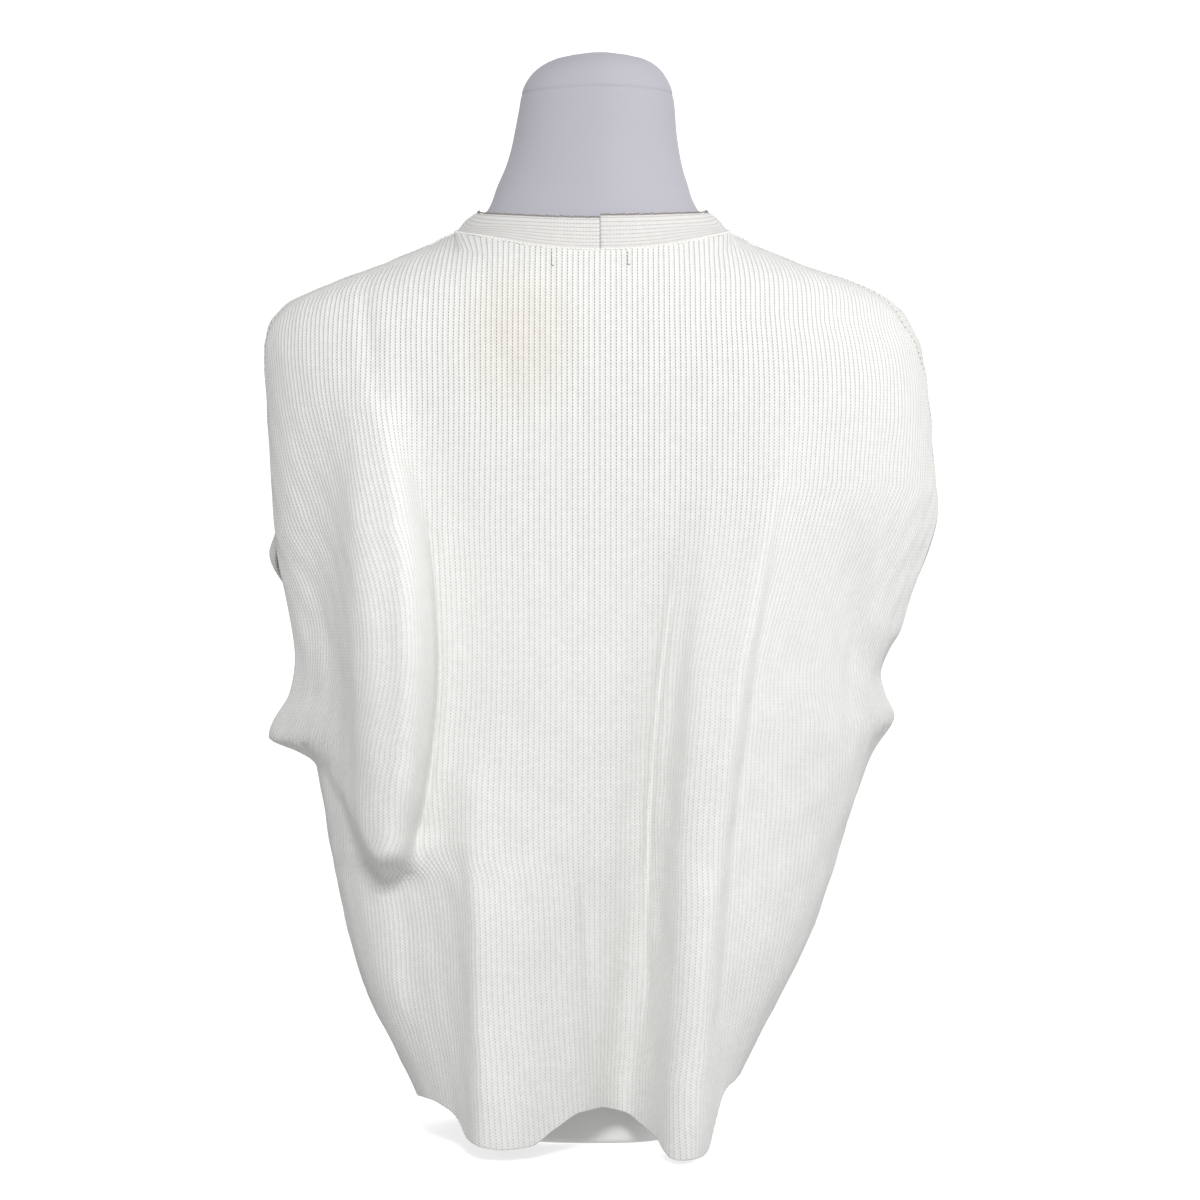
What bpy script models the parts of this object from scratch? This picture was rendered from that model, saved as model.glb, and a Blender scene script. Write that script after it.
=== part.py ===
"""Boxy rib-knit sweater vest on a limbless dress form, as closed solids.

The vest is four knitted pieces: a back, a front with a V neck, and a neckband in two halves
that join at the centre back and at the point of the V.  Both panels are wide, so the cloth
hangs from the shoulders in long folds and the armholes are plain edges at the sides.

One skin describes the worn cloth.  At each height it is a ring round the body: a rounded
section with a reach to each side and to the back and front, a local bulge at each underarm,
and the folds pushed out of it.  A panel's point is its height and its distance from the
centre line in the flat cut, walked along that ring.  The wall is laid inward from the skin.
The form's shoulders follow the inside of the cloth that rests on them.

Metres, +Z up.  The back of the vest faces -Y.  The form stands on its base at z = 0.
"""

import math
from collections import namedtuple

import bmesh
import bpy
import numpy as np

OBJECT_NAME = "sweater_vest_on_dress_form"

# ---------------------------------------------------------------- driving sizes
WALL = 0.0025            # rib knit, both panels
BAND_WALL = 0.0030       # the neckband is knitted firmer
SEAM_GAP = 0.0003        # clearance between two sewn pieces
FORM_DEPTH_BACK = 0.0038   # from the cloth's skin down to the form that carries it
FORM_DEPTH_FRONT = 0.0056  # and on the front, where the cloth stands off
BAND_RISE_SIDE = 0.0135  # how far the neckband climbs over the shoulder seam
BACK_NECK_Z = 0.6350     # neck seam at the centre back
BACK_NECK_POWER = 2.2    # how flat the back neck is in its middle
V_POINT_Z = 0.4400       # point of the V on the front
V_LINE_POWER = 1.35      # above 1, the V's edges bow and meet the shoulder seams squarely
V_BAND_RISE = 0.0480     # band measured up the centre line at the V
V_SEAM_LIFT = 0.0009     # the band's clearance above the front, measured up its steep line
CENTRE_SHIFT = (-0.0012, -0.0004)  # puts the box's middle on the origin

LEFT, RIGHT = -1, 1
BACK, FRONT = "back", "front"

BAND_RISE_BACK = {LEFT: 0.0240, RIGHT: 0.0258}  # its halves meet unevenly at the centre back
NECK_SIDE_Z = {LEFT: 0.6575, RIGHT: 0.6580}     # where the neck seam meets the shoulder seam

# Armhole of each side: the underarm, the top of the opening, how far it gapes, how wide the
# bulge round it is, and the height and reach of the lip where its front edge stands out.
Armhole = namedtuple("Armhole", "underarm_z top_z gape bulge_spread lip_z lip")
ARMHOLES = {
    LEFT: Armhole(0.287, 0.437, 0.075, 0.042, 0.420, 0.013),
    RIGHT: Armhole(0.302, 0.468, 0.075, 0.040, 0.470, 0.004),
}
LIP_TALL = 0.018         # half height and half width of that lip
LIP_WIDE = 0.026
GAPE_POWER = 0.8         # below 1, the opening is a fuller oval

# The skin at one side, by height: how far the body of the cloth reaches, how much further
# the cloth round the armhole sticks out, half the width of the flat panel at that height,
# and how far the seam lies behind the side.
Side = namedtuple("Side", "z reach bulge flat seam_back")
SIDES = {
    LEFT: (
        Side(0.0000, 0.1165, 0.0000, 0.225, 0.000),
        Side(0.0290, 0.1312, 0.0000, 0.235, 0.000),
        Side(0.0740, 0.1538, 0.0000, 0.252, 0.000),
        Side(0.1030, 0.1685, 0.0000, 0.262, 0.000),
        Side(0.1325, 0.1788, 0.0000, 0.271, 0.000),
        Side(0.1900, 0.1922, 0.0000, 0.286, 0.000),
        Side(0.2500, 0.2025, 0.0000, 0.300, 0.000),
        Side(0.2680, 0.2050, 0.0010, 0.310, 0.000),
        Side(0.2780, 0.2072, 0.0125, 0.324, 0.000),
        Side(0.2870, 0.2100, 0.0315, 0.335, 0.000),
        Side(0.3000, 0.2125, 0.0285, 0.335, 0.001),
        Side(0.3220, 0.2165, 0.0155, 0.335, 0.003),
        Side(0.3515, 0.2215, 0.0055, 0.335, 0.004),
        Side(0.3950, 0.2286, 0.0030, 0.335, 0.005),
        Side(0.4370, 0.2350, 0.0010, 0.335, 0.006),
        Side(0.4830, 0.2388, 0.0000, 0.318, 0.012),
        Side(0.5413, 0.2425, 0.0000, 0.296, 0.018),
        Side(0.5705, 0.2445, 0.0000, 0.285, 0.022),
        Side(0.5850, 0.2422, 0.0000, 0.276, 0.024),
        Side(0.5997, 0.2330, 0.0000, 0.262, 0.026),
        Side(0.6143, 0.2045, 0.0000, 0.230, 0.025),
        Side(0.6289, 0.1675, 0.0000, 0.190, 0.021),
        Side(0.6435, 0.1318, 0.0000, 0.150, 0.013),
        Side(0.6575, 0.1040, 0.0000, 0.107, 0.000),
        Side(0.6640, 0.0986, 0.0000, 0.102, 0.000),
        Side(0.6710, 0.0898, 0.0000, 0.096, 0.000),
        Side(0.6870, 0.0805, 0.0000, 0.086, 0.000),
    ),
    RIGHT: (
        Side(0.0000, 0.0840, 0.0000, 0.220, 0.000),
        Side(0.0460, 0.1012, 0.0000, 0.235, 0.000),
        Side(0.0740, 0.1155, 0.0000, 0.246, 0.000),
        Side(0.1030, 0.1313, 0.0000, 0.256, 0.000),
        Side(0.1325, 0.1466, 0.0000, 0.266, 0.000),
        Side(0.1617, 0.1592, 0.0000, 0.274, 0.000),
        Side(0.1900, 0.1688, 0.0000, 0.281, 0.000),
        Side(0.2200, 0.1778, 0.0000, 0.289, 0.000),
        Side(0.2500, 0.1870, 0.0005, 0.300, 0.000),
        Side(0.2780, 0.1935, 0.0055, 0.318, 0.000),
        Side(0.3020, 0.2010, 0.0135, 0.335, 0.000),
        Side(0.3220, 0.2050, 0.0020, 0.335, 0.002),
        Side(0.3370, 0.2068, -0.0045, 0.335, 0.003),
        Side(0.3515, 0.2108, -0.0005, 0.335, 0.004),
        Side(0.3660, 0.2160, 0.0095, 0.335, 0.005),
        Side(0.3810, 0.2200, 0.0130, 0.335, 0.006),
        Side(0.4100, 0.2280, 0.0158, 0.335, 0.007),
        Side(0.4390, 0.2365, 0.0110, 0.335, 0.008),
        Side(0.4680, 0.2410, 0.0045, 0.335, 0.009),
        Side(0.5121, 0.2405, 0.0000, 0.312, 0.018),
        Side(0.5413, 0.2378, 0.0000, 0.297, 0.024),
        Side(0.5705, 0.2335, 0.0000, 0.283, 0.034),
        Side(0.5850, 0.2280, 0.0000, 0.274, 0.038),
        Side(0.5997, 0.2200, 0.0000, 0.258, 0.038),
        Side(0.6143, 0.1965, 0.0000, 0.228, 0.034),
        Side(0.6289, 0.1550, 0.0000, 0.185, 0.024),
        Side(0.6435, 0.1190, 0.0000, 0.146, 0.013),
        Side(0.6580, 0.0925, 0.0000, 0.107, 0.000),
        Side(0.6640, 0.0876, 0.0000, 0.101, 0.000),
        Side(0.6715, 0.0790, 0.0000, 0.094, 0.000),
        Side(0.6870, 0.0695, 0.0000, 0.084, 0.000),
    ),
}

# The skin at the back and front, by height: its distance from the side seams' plane and
# how square the section is (2 is an ellipse).
Face = namedtuple("Face", "z back front back_square front_square")
FACES = (
    Face(0.000, -0.114, 0.104, 3.6, 2.2),
    Face(0.100, -0.118, 0.114, 2.7, 2.2),
    Face(0.200, -0.121, 0.126, 2.4, 2.3),
    Face(0.300, -0.120, 0.136, 2.6, 2.5),
    Face(0.400, -0.118, 0.141, 2.9, 2.7),
    Face(0.460, -0.118, 0.140, 2.9, 2.7),
    Face(0.520, -0.117, 0.131, 2.8, 2.6),
    Face(0.560, -0.114, 0.117, 2.7, 2.5),
    Face(0.590, -0.108, 0.101, 2.5, 2.4),
    Face(0.610, -0.101, 0.088, 2.4, 2.2),
    Face(0.630, -0.089, 0.072, 2.2, 2.1),
    Face(0.645, -0.077, 0.060, 2.1, 2.1),
    Face(0.660, -0.069, 0.052, 2.1, 2.0),
    Face(0.687, -0.060, 0.044, 2.0, 2.0),
)

# Hem height by distance from the centre line in the flat panel.
Hem = namedtuple("Hem", "flat z")
HEMS = {
    BACK: (
        Hem(-0.235, 0.0290), Hem(-0.205, 0.0325), Hem(-0.175, 0.0338),
        Hem(-0.150, 0.0303), Hem(-0.130, 0.0215), Hem(-0.116, 0.0140),
        Hem(-0.100, 0.0122), Hem(-0.080, 0.0095), Hem(-0.062, 0.0105),
        Hem(-0.040, 0.0224), Hem(-0.020, 0.0315), Hem(0.000, 0.0325),
        Hem(0.020, 0.0282), Hem(0.040, 0.0206), Hem(0.060, 0.0155),
        Hem(0.078, 0.0090), Hem(0.093, 0.0036), Hem(0.112, 0.0032),
        Hem(0.128, 0.0060), Hem(0.142, 0.0180), Hem(0.156, 0.0380),
        Hem(0.175, 0.0462), Hem(0.200, 0.0480), Hem(0.235, 0.0460),
    ),
    FRONT: (
        Hem(-0.235, 0.0290), Hem(-0.100, 0.0120), Hem(0.000, 0.0220), Hem(0.100, 0.0120),
        Hem(0.235, 0.0460),
    ),
}

# A fold runs down the cloth through three points and is pushed out by its depth (inward
# where negative) with a width to each side.  `slant` lifts its lower end towards the side.
Fold = namedtuple("Fold", "top_z top_x mid_z mid_x low_z low_x mid_depth low_depth left right slant")
FOLDS = {
    BACK: (
        Fold(0.592, -0.172, 0.380, -0.140, 0.204, -0.153, 0.036, 0.030, 0.044, 0.019, 1.40),
        Fold(0.575, -0.140, 0.390, -0.105, 0.230, -0.122, -0.009, -0.007, 0.013, 0.022, 0.0),
        Fold(0.560, -0.205, 0.400, -0.203, 0.320, -0.206, -0.009, -0.006, 0.018, 0.018, 0.0),
        Fold(0.310, -0.090, 0.130, -0.082, 0.000, -0.080, 0.019, 0.032, 0.017, 0.046, 0.0),
        Fold(0.240, -0.009, 0.150, -0.008, 0.070, -0.004, -0.004, -0.003, 0.012, 0.012, 0.0),
        Fold(0.480, 0.064, 0.240, 0.036, 0.000, 0.016, -0.016, -0.036, 0.022, 0.022, 0.0),
        Fold(0.570, 0.150, 0.280, 0.086, 0.000, 0.067, 0.024, 0.035, 0.030, 0.016, 0.0),
        Fold(0.470, 0.186, 0.380, 0.180, 0.310, 0.176, -0.009, -0.005, 0.018, 0.018, 0.0),
    ),
    FRONT: (
        Fold(0.420, -0.090, 0.200, -0.078, 0.000, -0.062, 0.012, 0.025, 0.030, 0.030, 0.0),
        Fold(0.420, 0.085, 0.200, 0.070, 0.000, 0.050, 0.014, 0.026, 0.028, 0.028, 0.0),
        Fold(0.360, 0.000, 0.180, -0.004, 0.000, -0.006, -0.008, -0.018, 0.024, 0.024, 0.0),
        Fold(0.570, -0.168, 0.380, -0.150, 0.220, -0.160, 0.022, 0.012, 0.040, 0.022, 0.8),
        Fold(0.570, 0.165, 0.380, 0.148, 0.230, 0.154, 0.020, 0.010, 0.022, 0.038, 0.0),
    ),
}
FOLD_END = 0.035         # length over which a fold dies out at its lower end
FOLD_FADE_POWER = 0.6    # how slowly a fold's push fades from a face's middle to its side

# The form, by height: its reach to each side, back and front, and how square it is.
Section = namedtuple("Section", "z left right back front square")
FORM_BODY = (
    Section(0.000, 0.088, 0.060, -0.056, 0.066, 2.3),
    Section(0.060, 0.092, 0.066, -0.060, 0.070, 2.3),
    Section(0.150, 0.100, 0.082, -0.070, 0.076, 2.3),
    Section(0.240, 0.112, 0.100, -0.080, 0.084, 2.3),
    Section(0.330, 0.130, 0.122, -0.090, 0.098, 2.3),
    Section(0.420, 0.152, 0.146, -0.098, 0.112, 2.3),
    Section(0.500, 0.172, 0.166, -0.100, 0.112, 2.3),
    Section(0.560, 0.190, 0.182, -0.098, 0.098, 2.3),
    Section(0.600, 0.200, 0.190, -0.092, 0.084, 2.2),
    Section(0.650, 0.110, 0.100, -0.070, 0.054, 2.1),
    Section(0.6700, 0.0870, 0.0765, -0.062, 0.046, 2.0),
    Section(0.6870, 0.0774, 0.0664, -0.057, 0.042, 2.0),
    Section(0.7020, 0.0696, 0.0606, -0.054, 0.041, 2.0),
    Section(0.7165, 0.0650, 0.0577, -0.052, 0.041, 2.0),
    Section(0.7310, 0.0620, 0.0557, -0.050, 0.042, 2.0),
    Section(0.7457, 0.0592, 0.0547, -0.048, 0.043, 2.0),
    Section(0.7600, 0.0565, 0.0525, -0.046, 0.043, 2.0),
    Section(0.7680, 0.0525, 0.0490, -0.043, 0.041, 2.0),
    Section(0.7750, 0.0460, 0.0440, -0.038, 0.037, 2.0),
    Section(0.7820, 0.0330, 0.0330, -0.028, 0.029, 2.0),
    Section(0.7865, 0.0120, 0.0120, -0.010, 0.012, 2.0),
)
FORM_TOP_Z = 0.7872
FORM_BASE_ROUND = 0.004  # radius round the foot of the form
FORM_MEETS_CLOTH = (0.530, 0.612)   # the form turns into the cloth's inside between these
FORM_LEAVES_CLOTH = (0.676, 0.700)  # and into its own neck between these
FORM_FRONT_FROM = 0.34   # share of the way round where the cloth starts to stand off
FORM_AROUND = 40
FORM_LEVELS = (
    0.0, FORM_BASE_ROUND, 0.06, 0.15, 0.24, 0.33, 0.42, 0.50, 0.55, 0.58, 0.60, 0.614, 0.626,
    0.637, 0.646, 0.653, 0.659, 0.665, 0.671, 0.678, 0.688, 0.702, 0.718, 0.738, 0.755, 0.767,
    0.776, 0.7825, 0.7865,
)

# Grid of the panels.  Each stretch of a panel's edge has its own number of rows.
COLUMNS_PER_SIDE = {BACK: 24, FRONT: 18}
CROWDED_TO_EDGE = {BACK: 1.0, FRONT: 1.5}  # above 1, columns lie closer together at the edge
EDGE_STRETCHES = {
    LEFT: (
        (0.0290, 0.250, 7), (0.250, 0.287, 4), (0.287, 0.437, 7), (0.437, 0.575, 4),
        (0.575, NECK_SIDE_Z[LEFT], 10),
    ),
    RIGHT: (
        (0.0460, 0.250, 7), (0.250, 0.302, 4), (0.302, 0.468, 7), (0.468, 0.575, 4),
        (0.575, NECK_SIDE_Z[RIGHT], 10),
    ),
}
BAND_ROWS = 2
RING_SAMPLES = 120       # points on each quarter of a ring
EDGE_SAMPLES = 60        # points used to space the rows along a stretch of edge
STEP = 0.0004            # step up the skin that finds its slope
SHARE_STEP = 0.0007      # and its share of the way round
SKIN_SPAN = (0.001, 0.686)  # heights between which the skin can be measured

IVORY = (0.80, 0.78, 0.72, 1.0)
LAVENDER_GREY = (0.44, 0.43, 0.49, 1.0)


# ---------------------------------------------------------------- curves through the tables
def eased(at, stations, values):
    """Smooth curve through a table that never overshoots between two of its rows."""
    stations = np.asarray(stations, float)
    values = np.asarray(values, float)
    span = np.diff(stations)
    slope = np.diff(values) / span
    same_way = slope[:-1] * slope[1:] > 0
    before = np.where(same_way, slope[:-1], 1.0)
    after = np.where(same_way, slope[1:], 1.0)
    first = 2 * span[1:] + span[:-1]
    second = span[1:] + 2 * span[:-1]
    tangent = np.empty_like(values)
    tangent[0], tangent[-1] = slope[0], slope[-1]
    tangent[1:-1] = np.where(same_way, (first + second) / (first / before + second / after), 0.0)
    at = np.clip(np.asarray(at, float), stations[0], stations[-1])
    row = np.clip(np.searchsorted(stations, at, side="right") - 1, 0, len(span) - 1)
    t = (at - stations[row]) / span[row]
    start = (1 + 2 * t) * (1 - t) ** 2 * values[row]
    end = t * t * (3 - 2 * t) * values[row + 1]
    lean = t * (1 - t) ** 2 * tangent[row] - t * t * (1 - t) * tangent[row + 1]
    return start + end + span[row] * lean


def column(table, name, at, key="z"):
    """A named column of a table, at any value of its key."""
    return eased(at, [getattr(row, key) for row in table], [getattr(row, name) for row in table])


def smooth(t):
    """0 below 0, 1 above 1 and an S between."""
    t = np.clip(t, 0.0, 1.0)
    return t * t * (3 - 2 * t)


# ---------------------------------------------------------------- folds
def fold_line(fold, z):
    """Where a fold lies across the cloth, by height: a parabola through its three points."""
    z = np.clip(z, fold.low_z, fold.top_z)
    top = (z - fold.mid_z) * (z - fold.low_z) / ((fold.top_z - fold.mid_z) * (fold.top_z - fold.low_z))
    mid = (z - fold.top_z) * (z - fold.low_z) / ((fold.mid_z - fold.top_z) * (fold.mid_z - fold.low_z))
    low = (z - fold.top_z) * (z - fold.mid_z) / ((fold.low_z - fold.top_z) * (fold.low_z - fold.mid_z))
    return top * fold.top_x + mid * fold.mid_x + low * fold.low_x


def fold_depth(fold, z, off):
    """Depth of a fold by height; it starts from nothing at its top."""
    upper = fold.mid_depth * smooth((fold.top_z - z) / (fold.top_z - fold.mid_z))
    change = smooth((z - fold.low_z) / (fold.mid_z - fold.low_z))
    lower = fold.low_depth + (fold.mid_depth - fold.low_depth) * change
    depth = np.where(z > fold.mid_z, upper, lower)
    if fold.low_z > 0:
        end_z = fold.low_z + fold.slant * np.clip(-off, 0.0, None)
        depth = depth * smooth((z - end_z) / FOLD_END + 1.0)
    return depth


def relief(folds, x, z):
    """How far all folds together push the cloth out."""
    total = np.zeros_like(x)
    for fold in folds:
        off = x - fold_line(fold, z)
        width = np.where(off < 0, fold.left, fold.right)
        total += fold_depth(fold, z, off) * np.exp(-(off / width) ** 2)
    return total


# ---------------------------------------------------------------- rings and the skin
def quarter(reach, face, square):
    """Quarter of a rounded section, from the middle of a face to the side, evenly by angle."""
    angle = np.linspace(0.0, math.pi / 2, RING_SAMPLES)[None, :]
    across = np.abs(np.sin(angle) / reach) ** square
    deep = np.abs(np.cos(angle) / face) ** square
    radius = (across + deep) ** (-1.0 / square)
    return radius * np.sin(angle), radius * np.cos(angle)


def joined(side, back_half, front_half):
    """Half ring from the centre back round one side to the centre front, with run lengths."""
    x = side * np.concatenate([back_half[0], front_half[0][:, -2::-1]], axis=1)
    y = np.concatenate([-back_half[1], front_half[1][:, -2::-1]], axis=1)
    return with_run(np.stack([x, y], axis=-1))


def with_run(ring):
    """Pair a ring with the distance walked along it."""
    step = np.linalg.norm(np.diff(ring, axis=1), axis=2)
    run = np.concatenate([np.zeros((len(ring), 1)), np.cumsum(step, axis=1)], axis=1)
    return ring, run


def cloth_ring(side, z):
    """Half rings of the cloth's outer skin at the heights z."""
    z = np.asarray(z, float)[:, None]
    reach = column(SIDES[side], "reach", z)
    halves = {}
    for name in (BACK, FRONT):
        face = np.abs(column(FACES, name, z))
        square = column(FACES, name + "_square", z)
        x, depth = quarter(reach, face, square)
        push = relief(FOLDS[name], side * x, z + 0 * x) * (depth / face) ** FOLD_FADE_POWER
        halves[name] = (x, depth + push)
    ring, run = joined(side, halves[BACK], halves[FRONT])
    from_side = run - run[:, RING_SAMPLES - 1:RING_SAMPLES]
    bulge = column(SIDES[side], "bulge", z)
    hole = ARMHOLES[side]
    ring[..., 0] += side * bulge * np.exp(-(from_side / hole.bulge_spread) ** 2)
    lip = hole.lip * np.exp(-((z - hole.lip_z) / LIP_TALL) ** 2)
    ring[..., 0] += side * lip * np.exp(-((from_side - hole.gape / 2) / LIP_WIDE) ** 2)
    return with_run(ring)


def form_ring(side, z):
    """Half rings of the form's own sections at the heights z."""
    z = np.asarray(z, float)[:, None]
    reach = column(FORM_BODY, "left" if side == LEFT else "right", z)
    square = column(FORM_BODY, "square", z)
    back_half = quarter(reach, np.abs(column(FORM_BODY, "back", z)), square)
    front_half = quarter(reach, column(FORM_BODY, "front", z), square)
    return joined(side, back_half, front_half)


def walk(rings, z, share):
    """Points on half rings, each at its share of the way from centre back to centre front."""
    ring, run = rings
    points = np.empty((len(ring), 3))
    for i in range(len(ring)):
        at = share[i] * run[i, -1]
        points[i, 0] = np.interp(at, run[i], ring[i, :, 0])
        points[i, 1] = np.interp(at, run[i], ring[i, :, 1])
    points[:, 2] = z
    return points


def skin_and_normal(side, z, share):
    """Points on the cloth's outer skin, and the skin's outward direction there."""
    middle = walk(cloth_ring(side, z), z, share)
    above = walk(cloth_ring(side, z + STEP), z + STEP, share)
    below = walk(cloth_ring(side, z - STEP), z - STEP, share)
    inner = walk(cloth_ring(side, z), z, np.clip(share - SHARE_STEP, 0.0, 1.0))
    outer = walk(cloth_ring(side, z), z, np.clip(share + SHARE_STEP, 0.0, 1.0))
    normal = side * np.cross(outer - inner, above - below)
    edge = (share < SHARE_STEP) | (share > 1 - SHARE_STEP)
    normal[edge, 0] = 0.0
    normal /= np.linalg.norm(normal, axis=1, keepdims=True)
    return middle, normal


def cut_to_share(side, face, flat, z):
    """Turn a distance from the centre line of the flat panel into a share of the half ring."""
    ring, run = cloth_ring(side, z)
    total = run[:, -1]
    seam = run[:, RING_SAMPLES - 1] - column(SIDES[side], "seam_back", z)
    hole = ARMHOLES[side]
    opening = np.clip((z - hole.underarm_z) / (hole.top_z - hole.underarm_z), 0.0, 1.0)
    gape = hole.gape * np.sin(math.pi * opening) ** GAPE_POWER
    length = (seam if face == BACK else total - seam) - gape / 2 - SEAM_GAP / 2
    full = column(SIDES[side], "flat", z)
    part = np.clip(flat / full, 0.0, 1.0)
    along = part * full + (length - full) * part ** 2
    share = along / total
    return share if face == BACK else 1.0 - share


# ---------------------------------------------------------------- panels
def edge_levels(side):
    """Heights of a panel's rows at its edge, evenly spaced along each stretch of the edge."""
    levels = [EDGE_STRETCHES[side][0][0]]
    for low, high, rows in EDGE_STRETCHES[side]:
        z = np.linspace(low, high, EDGE_SAMPLES)
        x = column(SIDES[side], "reach", z) + column(SIDES[side], "bulge", z)
        run = np.concatenate([[0.0], np.cumsum(np.hypot(np.diff(x), np.diff(z)))])
        levels.extend(np.interp(np.linspace(0, run[-1], rows + 1)[1:], run, z))
    return np.array(levels)


def neck_line(side, face, lift, part):
    """Height and flat distance along a line `lift` (0 to 1) of the way up the neckband."""
    neck_z = NECK_SIDE_Z[side] + lift * BAND_RISE_SIDE
    neck_flat = column(SIDES[side], "flat", neck_z)
    if face == BACK:
        centre_z = BACK_NECK_Z + lift * BAND_RISE_BACK[side]
        z = centre_z + (neck_z - centre_z) * part ** BACK_NECK_POWER
    else:
        centre_z = V_POINT_Z + lift * V_BAND_RISE
        z = centre_z + (neck_z - centre_z) * (1.0 - (1.0 - part) ** V_LINE_POWER)
    return z, neck_flat * part


def column_parts(face):
    """Each column's part of the way from the centre line to the edge."""
    steps = np.linspace(0.0, 1.0, COLUMNS_PER_SIDE[face] + 1)
    return 1.0 - (1.0 - steps) ** CROWDED_TO_EDGE[face]


def panel_half(side, face):
    """Outer and inner points of one half of a panel, from the centre line to the edge."""
    parts = column_parts(face)
    levels = edge_levels(side)
    share_up = (levels - levels[0]) / (levels[-1] - levels[0])
    other = edge_levels(-side)
    other_up = (other - other[0]) / (other[-1] - other[0])
    outer = np.empty((len(parts), len(levels), 3))
    inner = np.empty_like(outer)
    hem_flat = column(SIDES[side], "flat", levels[0])
    for i, part in enumerate(parts):
        mix = 0.5 + 0.5 * part
        up = mix * share_up + (1 - mix) * other_up
        low_z = column(HEMS[face], "z", side * part * hem_flat, key="flat")
        top_z, _ = neck_line(side, face, 0.0, part)
        z = low_z + (top_z - low_z) * up
        flat = part * column(SIDES[side], "flat", levels)
        full = column(SIDES[side], "flat", z)
        share = cut_to_share(side, face, np.minimum(flat, full), z)
        skin, normal = skin_and_normal(side, z, share)
        outer[i] = skin
        inner[i] = skin - WALL * normal
    return outer, inner


def panel(name, face, material):
    """A whole panel: its two halves share the centre line."""
    left_outer, left_inner = panel_half(LEFT, face)
    right_outer, right_inner = panel_half(RIGHT, face)
    outer = np.concatenate([left_outer[:0:-1], right_outer])
    inner = np.concatenate([left_inner[:0:-1], right_inner])
    return wall_object(name, outer, inner, material)


def neckband(name, side, material):
    """One half of the neckband, from the centre back over the shoulder to the V."""
    stations = [(BACK, part) for part in column_parts(BACK)[:-1]]
    stations += [(FRONT, part) for part in column_parts(FRONT)[::-1]]
    outer = np.empty((len(stations), BAND_ROWS + 1, 3))
    inner = np.empty_like(outer)
    for i, (face, part) in enumerate(stations):
        for j in range(BAND_ROWS + 1):
            z, flat = neck_line(side, face, j / BAND_ROWS, part)
            z = np.array([z + (SEAM_GAP if face == BACK else V_SEAM_LIFT)])
            flat = np.array([max(flat, SEAM_GAP / 2)])
            full = column(SIDES[side], "flat", z)
            share = cut_to_share(side, face, np.minimum(flat, full), z)
            if part == 1.0:
                ring, run = cloth_ring(side, z)
                share = (run[:, RING_SAMPLES - 1] - column(SIDES[side], "seam_back", z)) / run[:, -1]
            skin, normal = skin_and_normal(side, z, share)
            outer[i, j] = skin[0]
            inner[i, j] = skin[0] - BAND_WALL * normal[0]
    return wall_object(name, outer, inner, material)


# ---------------------------------------------------------------- the form
def form_surface(side, share, levels):
    """The form's points at one share of the way round a side."""
    z = np.asarray(levels, float)
    shares = np.full(len(z), share)
    own = walk(form_ring(side, z), z, shares)
    skin, normal = skin_and_normal(side, np.clip(z, *SKIN_SPAN), shares)
    toward_front = smooth((share - FORM_FRONT_FROM) / (0.5 - FORM_FRONT_FROM))
    depth = FORM_DEPTH_BACK + (FORM_DEPTH_FRONT - FORM_DEPTH_BACK) * toward_front
    under_cloth = skin - depth * normal
    rising = smooth((z - FORM_MEETS_CLOTH[0]) / (FORM_MEETS_CLOTH[1] - FORM_MEETS_CLOTH[0]))
    leaving = smooth((z - FORM_LEAVES_CLOTH[0]) / (FORM_LEAVES_CLOTH[1] - FORM_LEAVES_CLOTH[0]))
    follows = (rising * (1 - leaving))[:, None]
    return own * (1 - follows) + under_cloth * follows


def dress_form(name, material):
    """Limbless form: a sphere's vertices are moved to its sections, the poles close it."""
    mesh = bmesh.new()
    rings = len(FORM_LEVELS) + 1
    bmesh.ops.create_uvsphere(mesh, u_segments=FORM_AROUND, v_segments=rings, radius=1.0)
    shares = {}
    for step in range(FORM_AROUND):
        turn = step / FORM_AROUND
        side = RIGHT if turn <= 0.5 else LEFT
        share = 2 * turn if side == RIGHT else 2 * (1 - turn)
        shares[step] = form_surface(side, share, FORM_LEVELS)
    for vertex in mesh.verts:
        latitude = math.acos(max(-1.0, min(1.0, -vertex.co.z))) / math.pi
        level = round(latitude * rings)
        if level == 0:
            vertex.co = (0.5 * (FORM_BODY[0].right - FORM_BODY[0].left), 0.0, 0.0)
        elif level == rings:
            vertex.co = (0.0, 0.0, FORM_TOP_Z)
        else:
            turn = math.atan2(vertex.co.x, -vertex.co.y) / (2 * math.pi)
            point = shares[round(turn * FORM_AROUND) % FORM_AROUND][level - 1]
            vertex.co = point
            if level == 1:
                vertex.co.x *= 1 - FORM_BASE_ROUND / FORM_BODY[0].left
                vertex.co.y *= 1 - FORM_BASE_ROUND / FORM_BODY[0].front
    return finish_object(name, mesh, material)


# ---------------------------------------------------------------- meshes
def wall_object(name, outer, inner, material):
    """A wall between two grids of points: a flat grid, doubled, with its vertices moved."""
    columns, rows = outer.shape[:2]
    mesh = bmesh.new()
    bmesh.ops.create_grid(mesh, x_segments=columns - 1, y_segments=rows - 1, size=1.0)
    first = list(mesh.verts)
    made = bmesh.ops.extrude_face_region(mesh, geom=list(mesh.faces), use_keep_orig=True)
    second = [item for item in made["geom"] if isinstance(item, bmesh.types.BMVert)]
    for vertices, points in ((first, inner), (second, outer)):
        for vertex in vertices:
            i = round((vertex.co.x + 1) / 2 * (columns - 1))
            j = round((vertex.co.y + 1) / 2 * (rows - 1))
            vertex.co = points[i, j]
    return finish_object(name, mesh, material)


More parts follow.
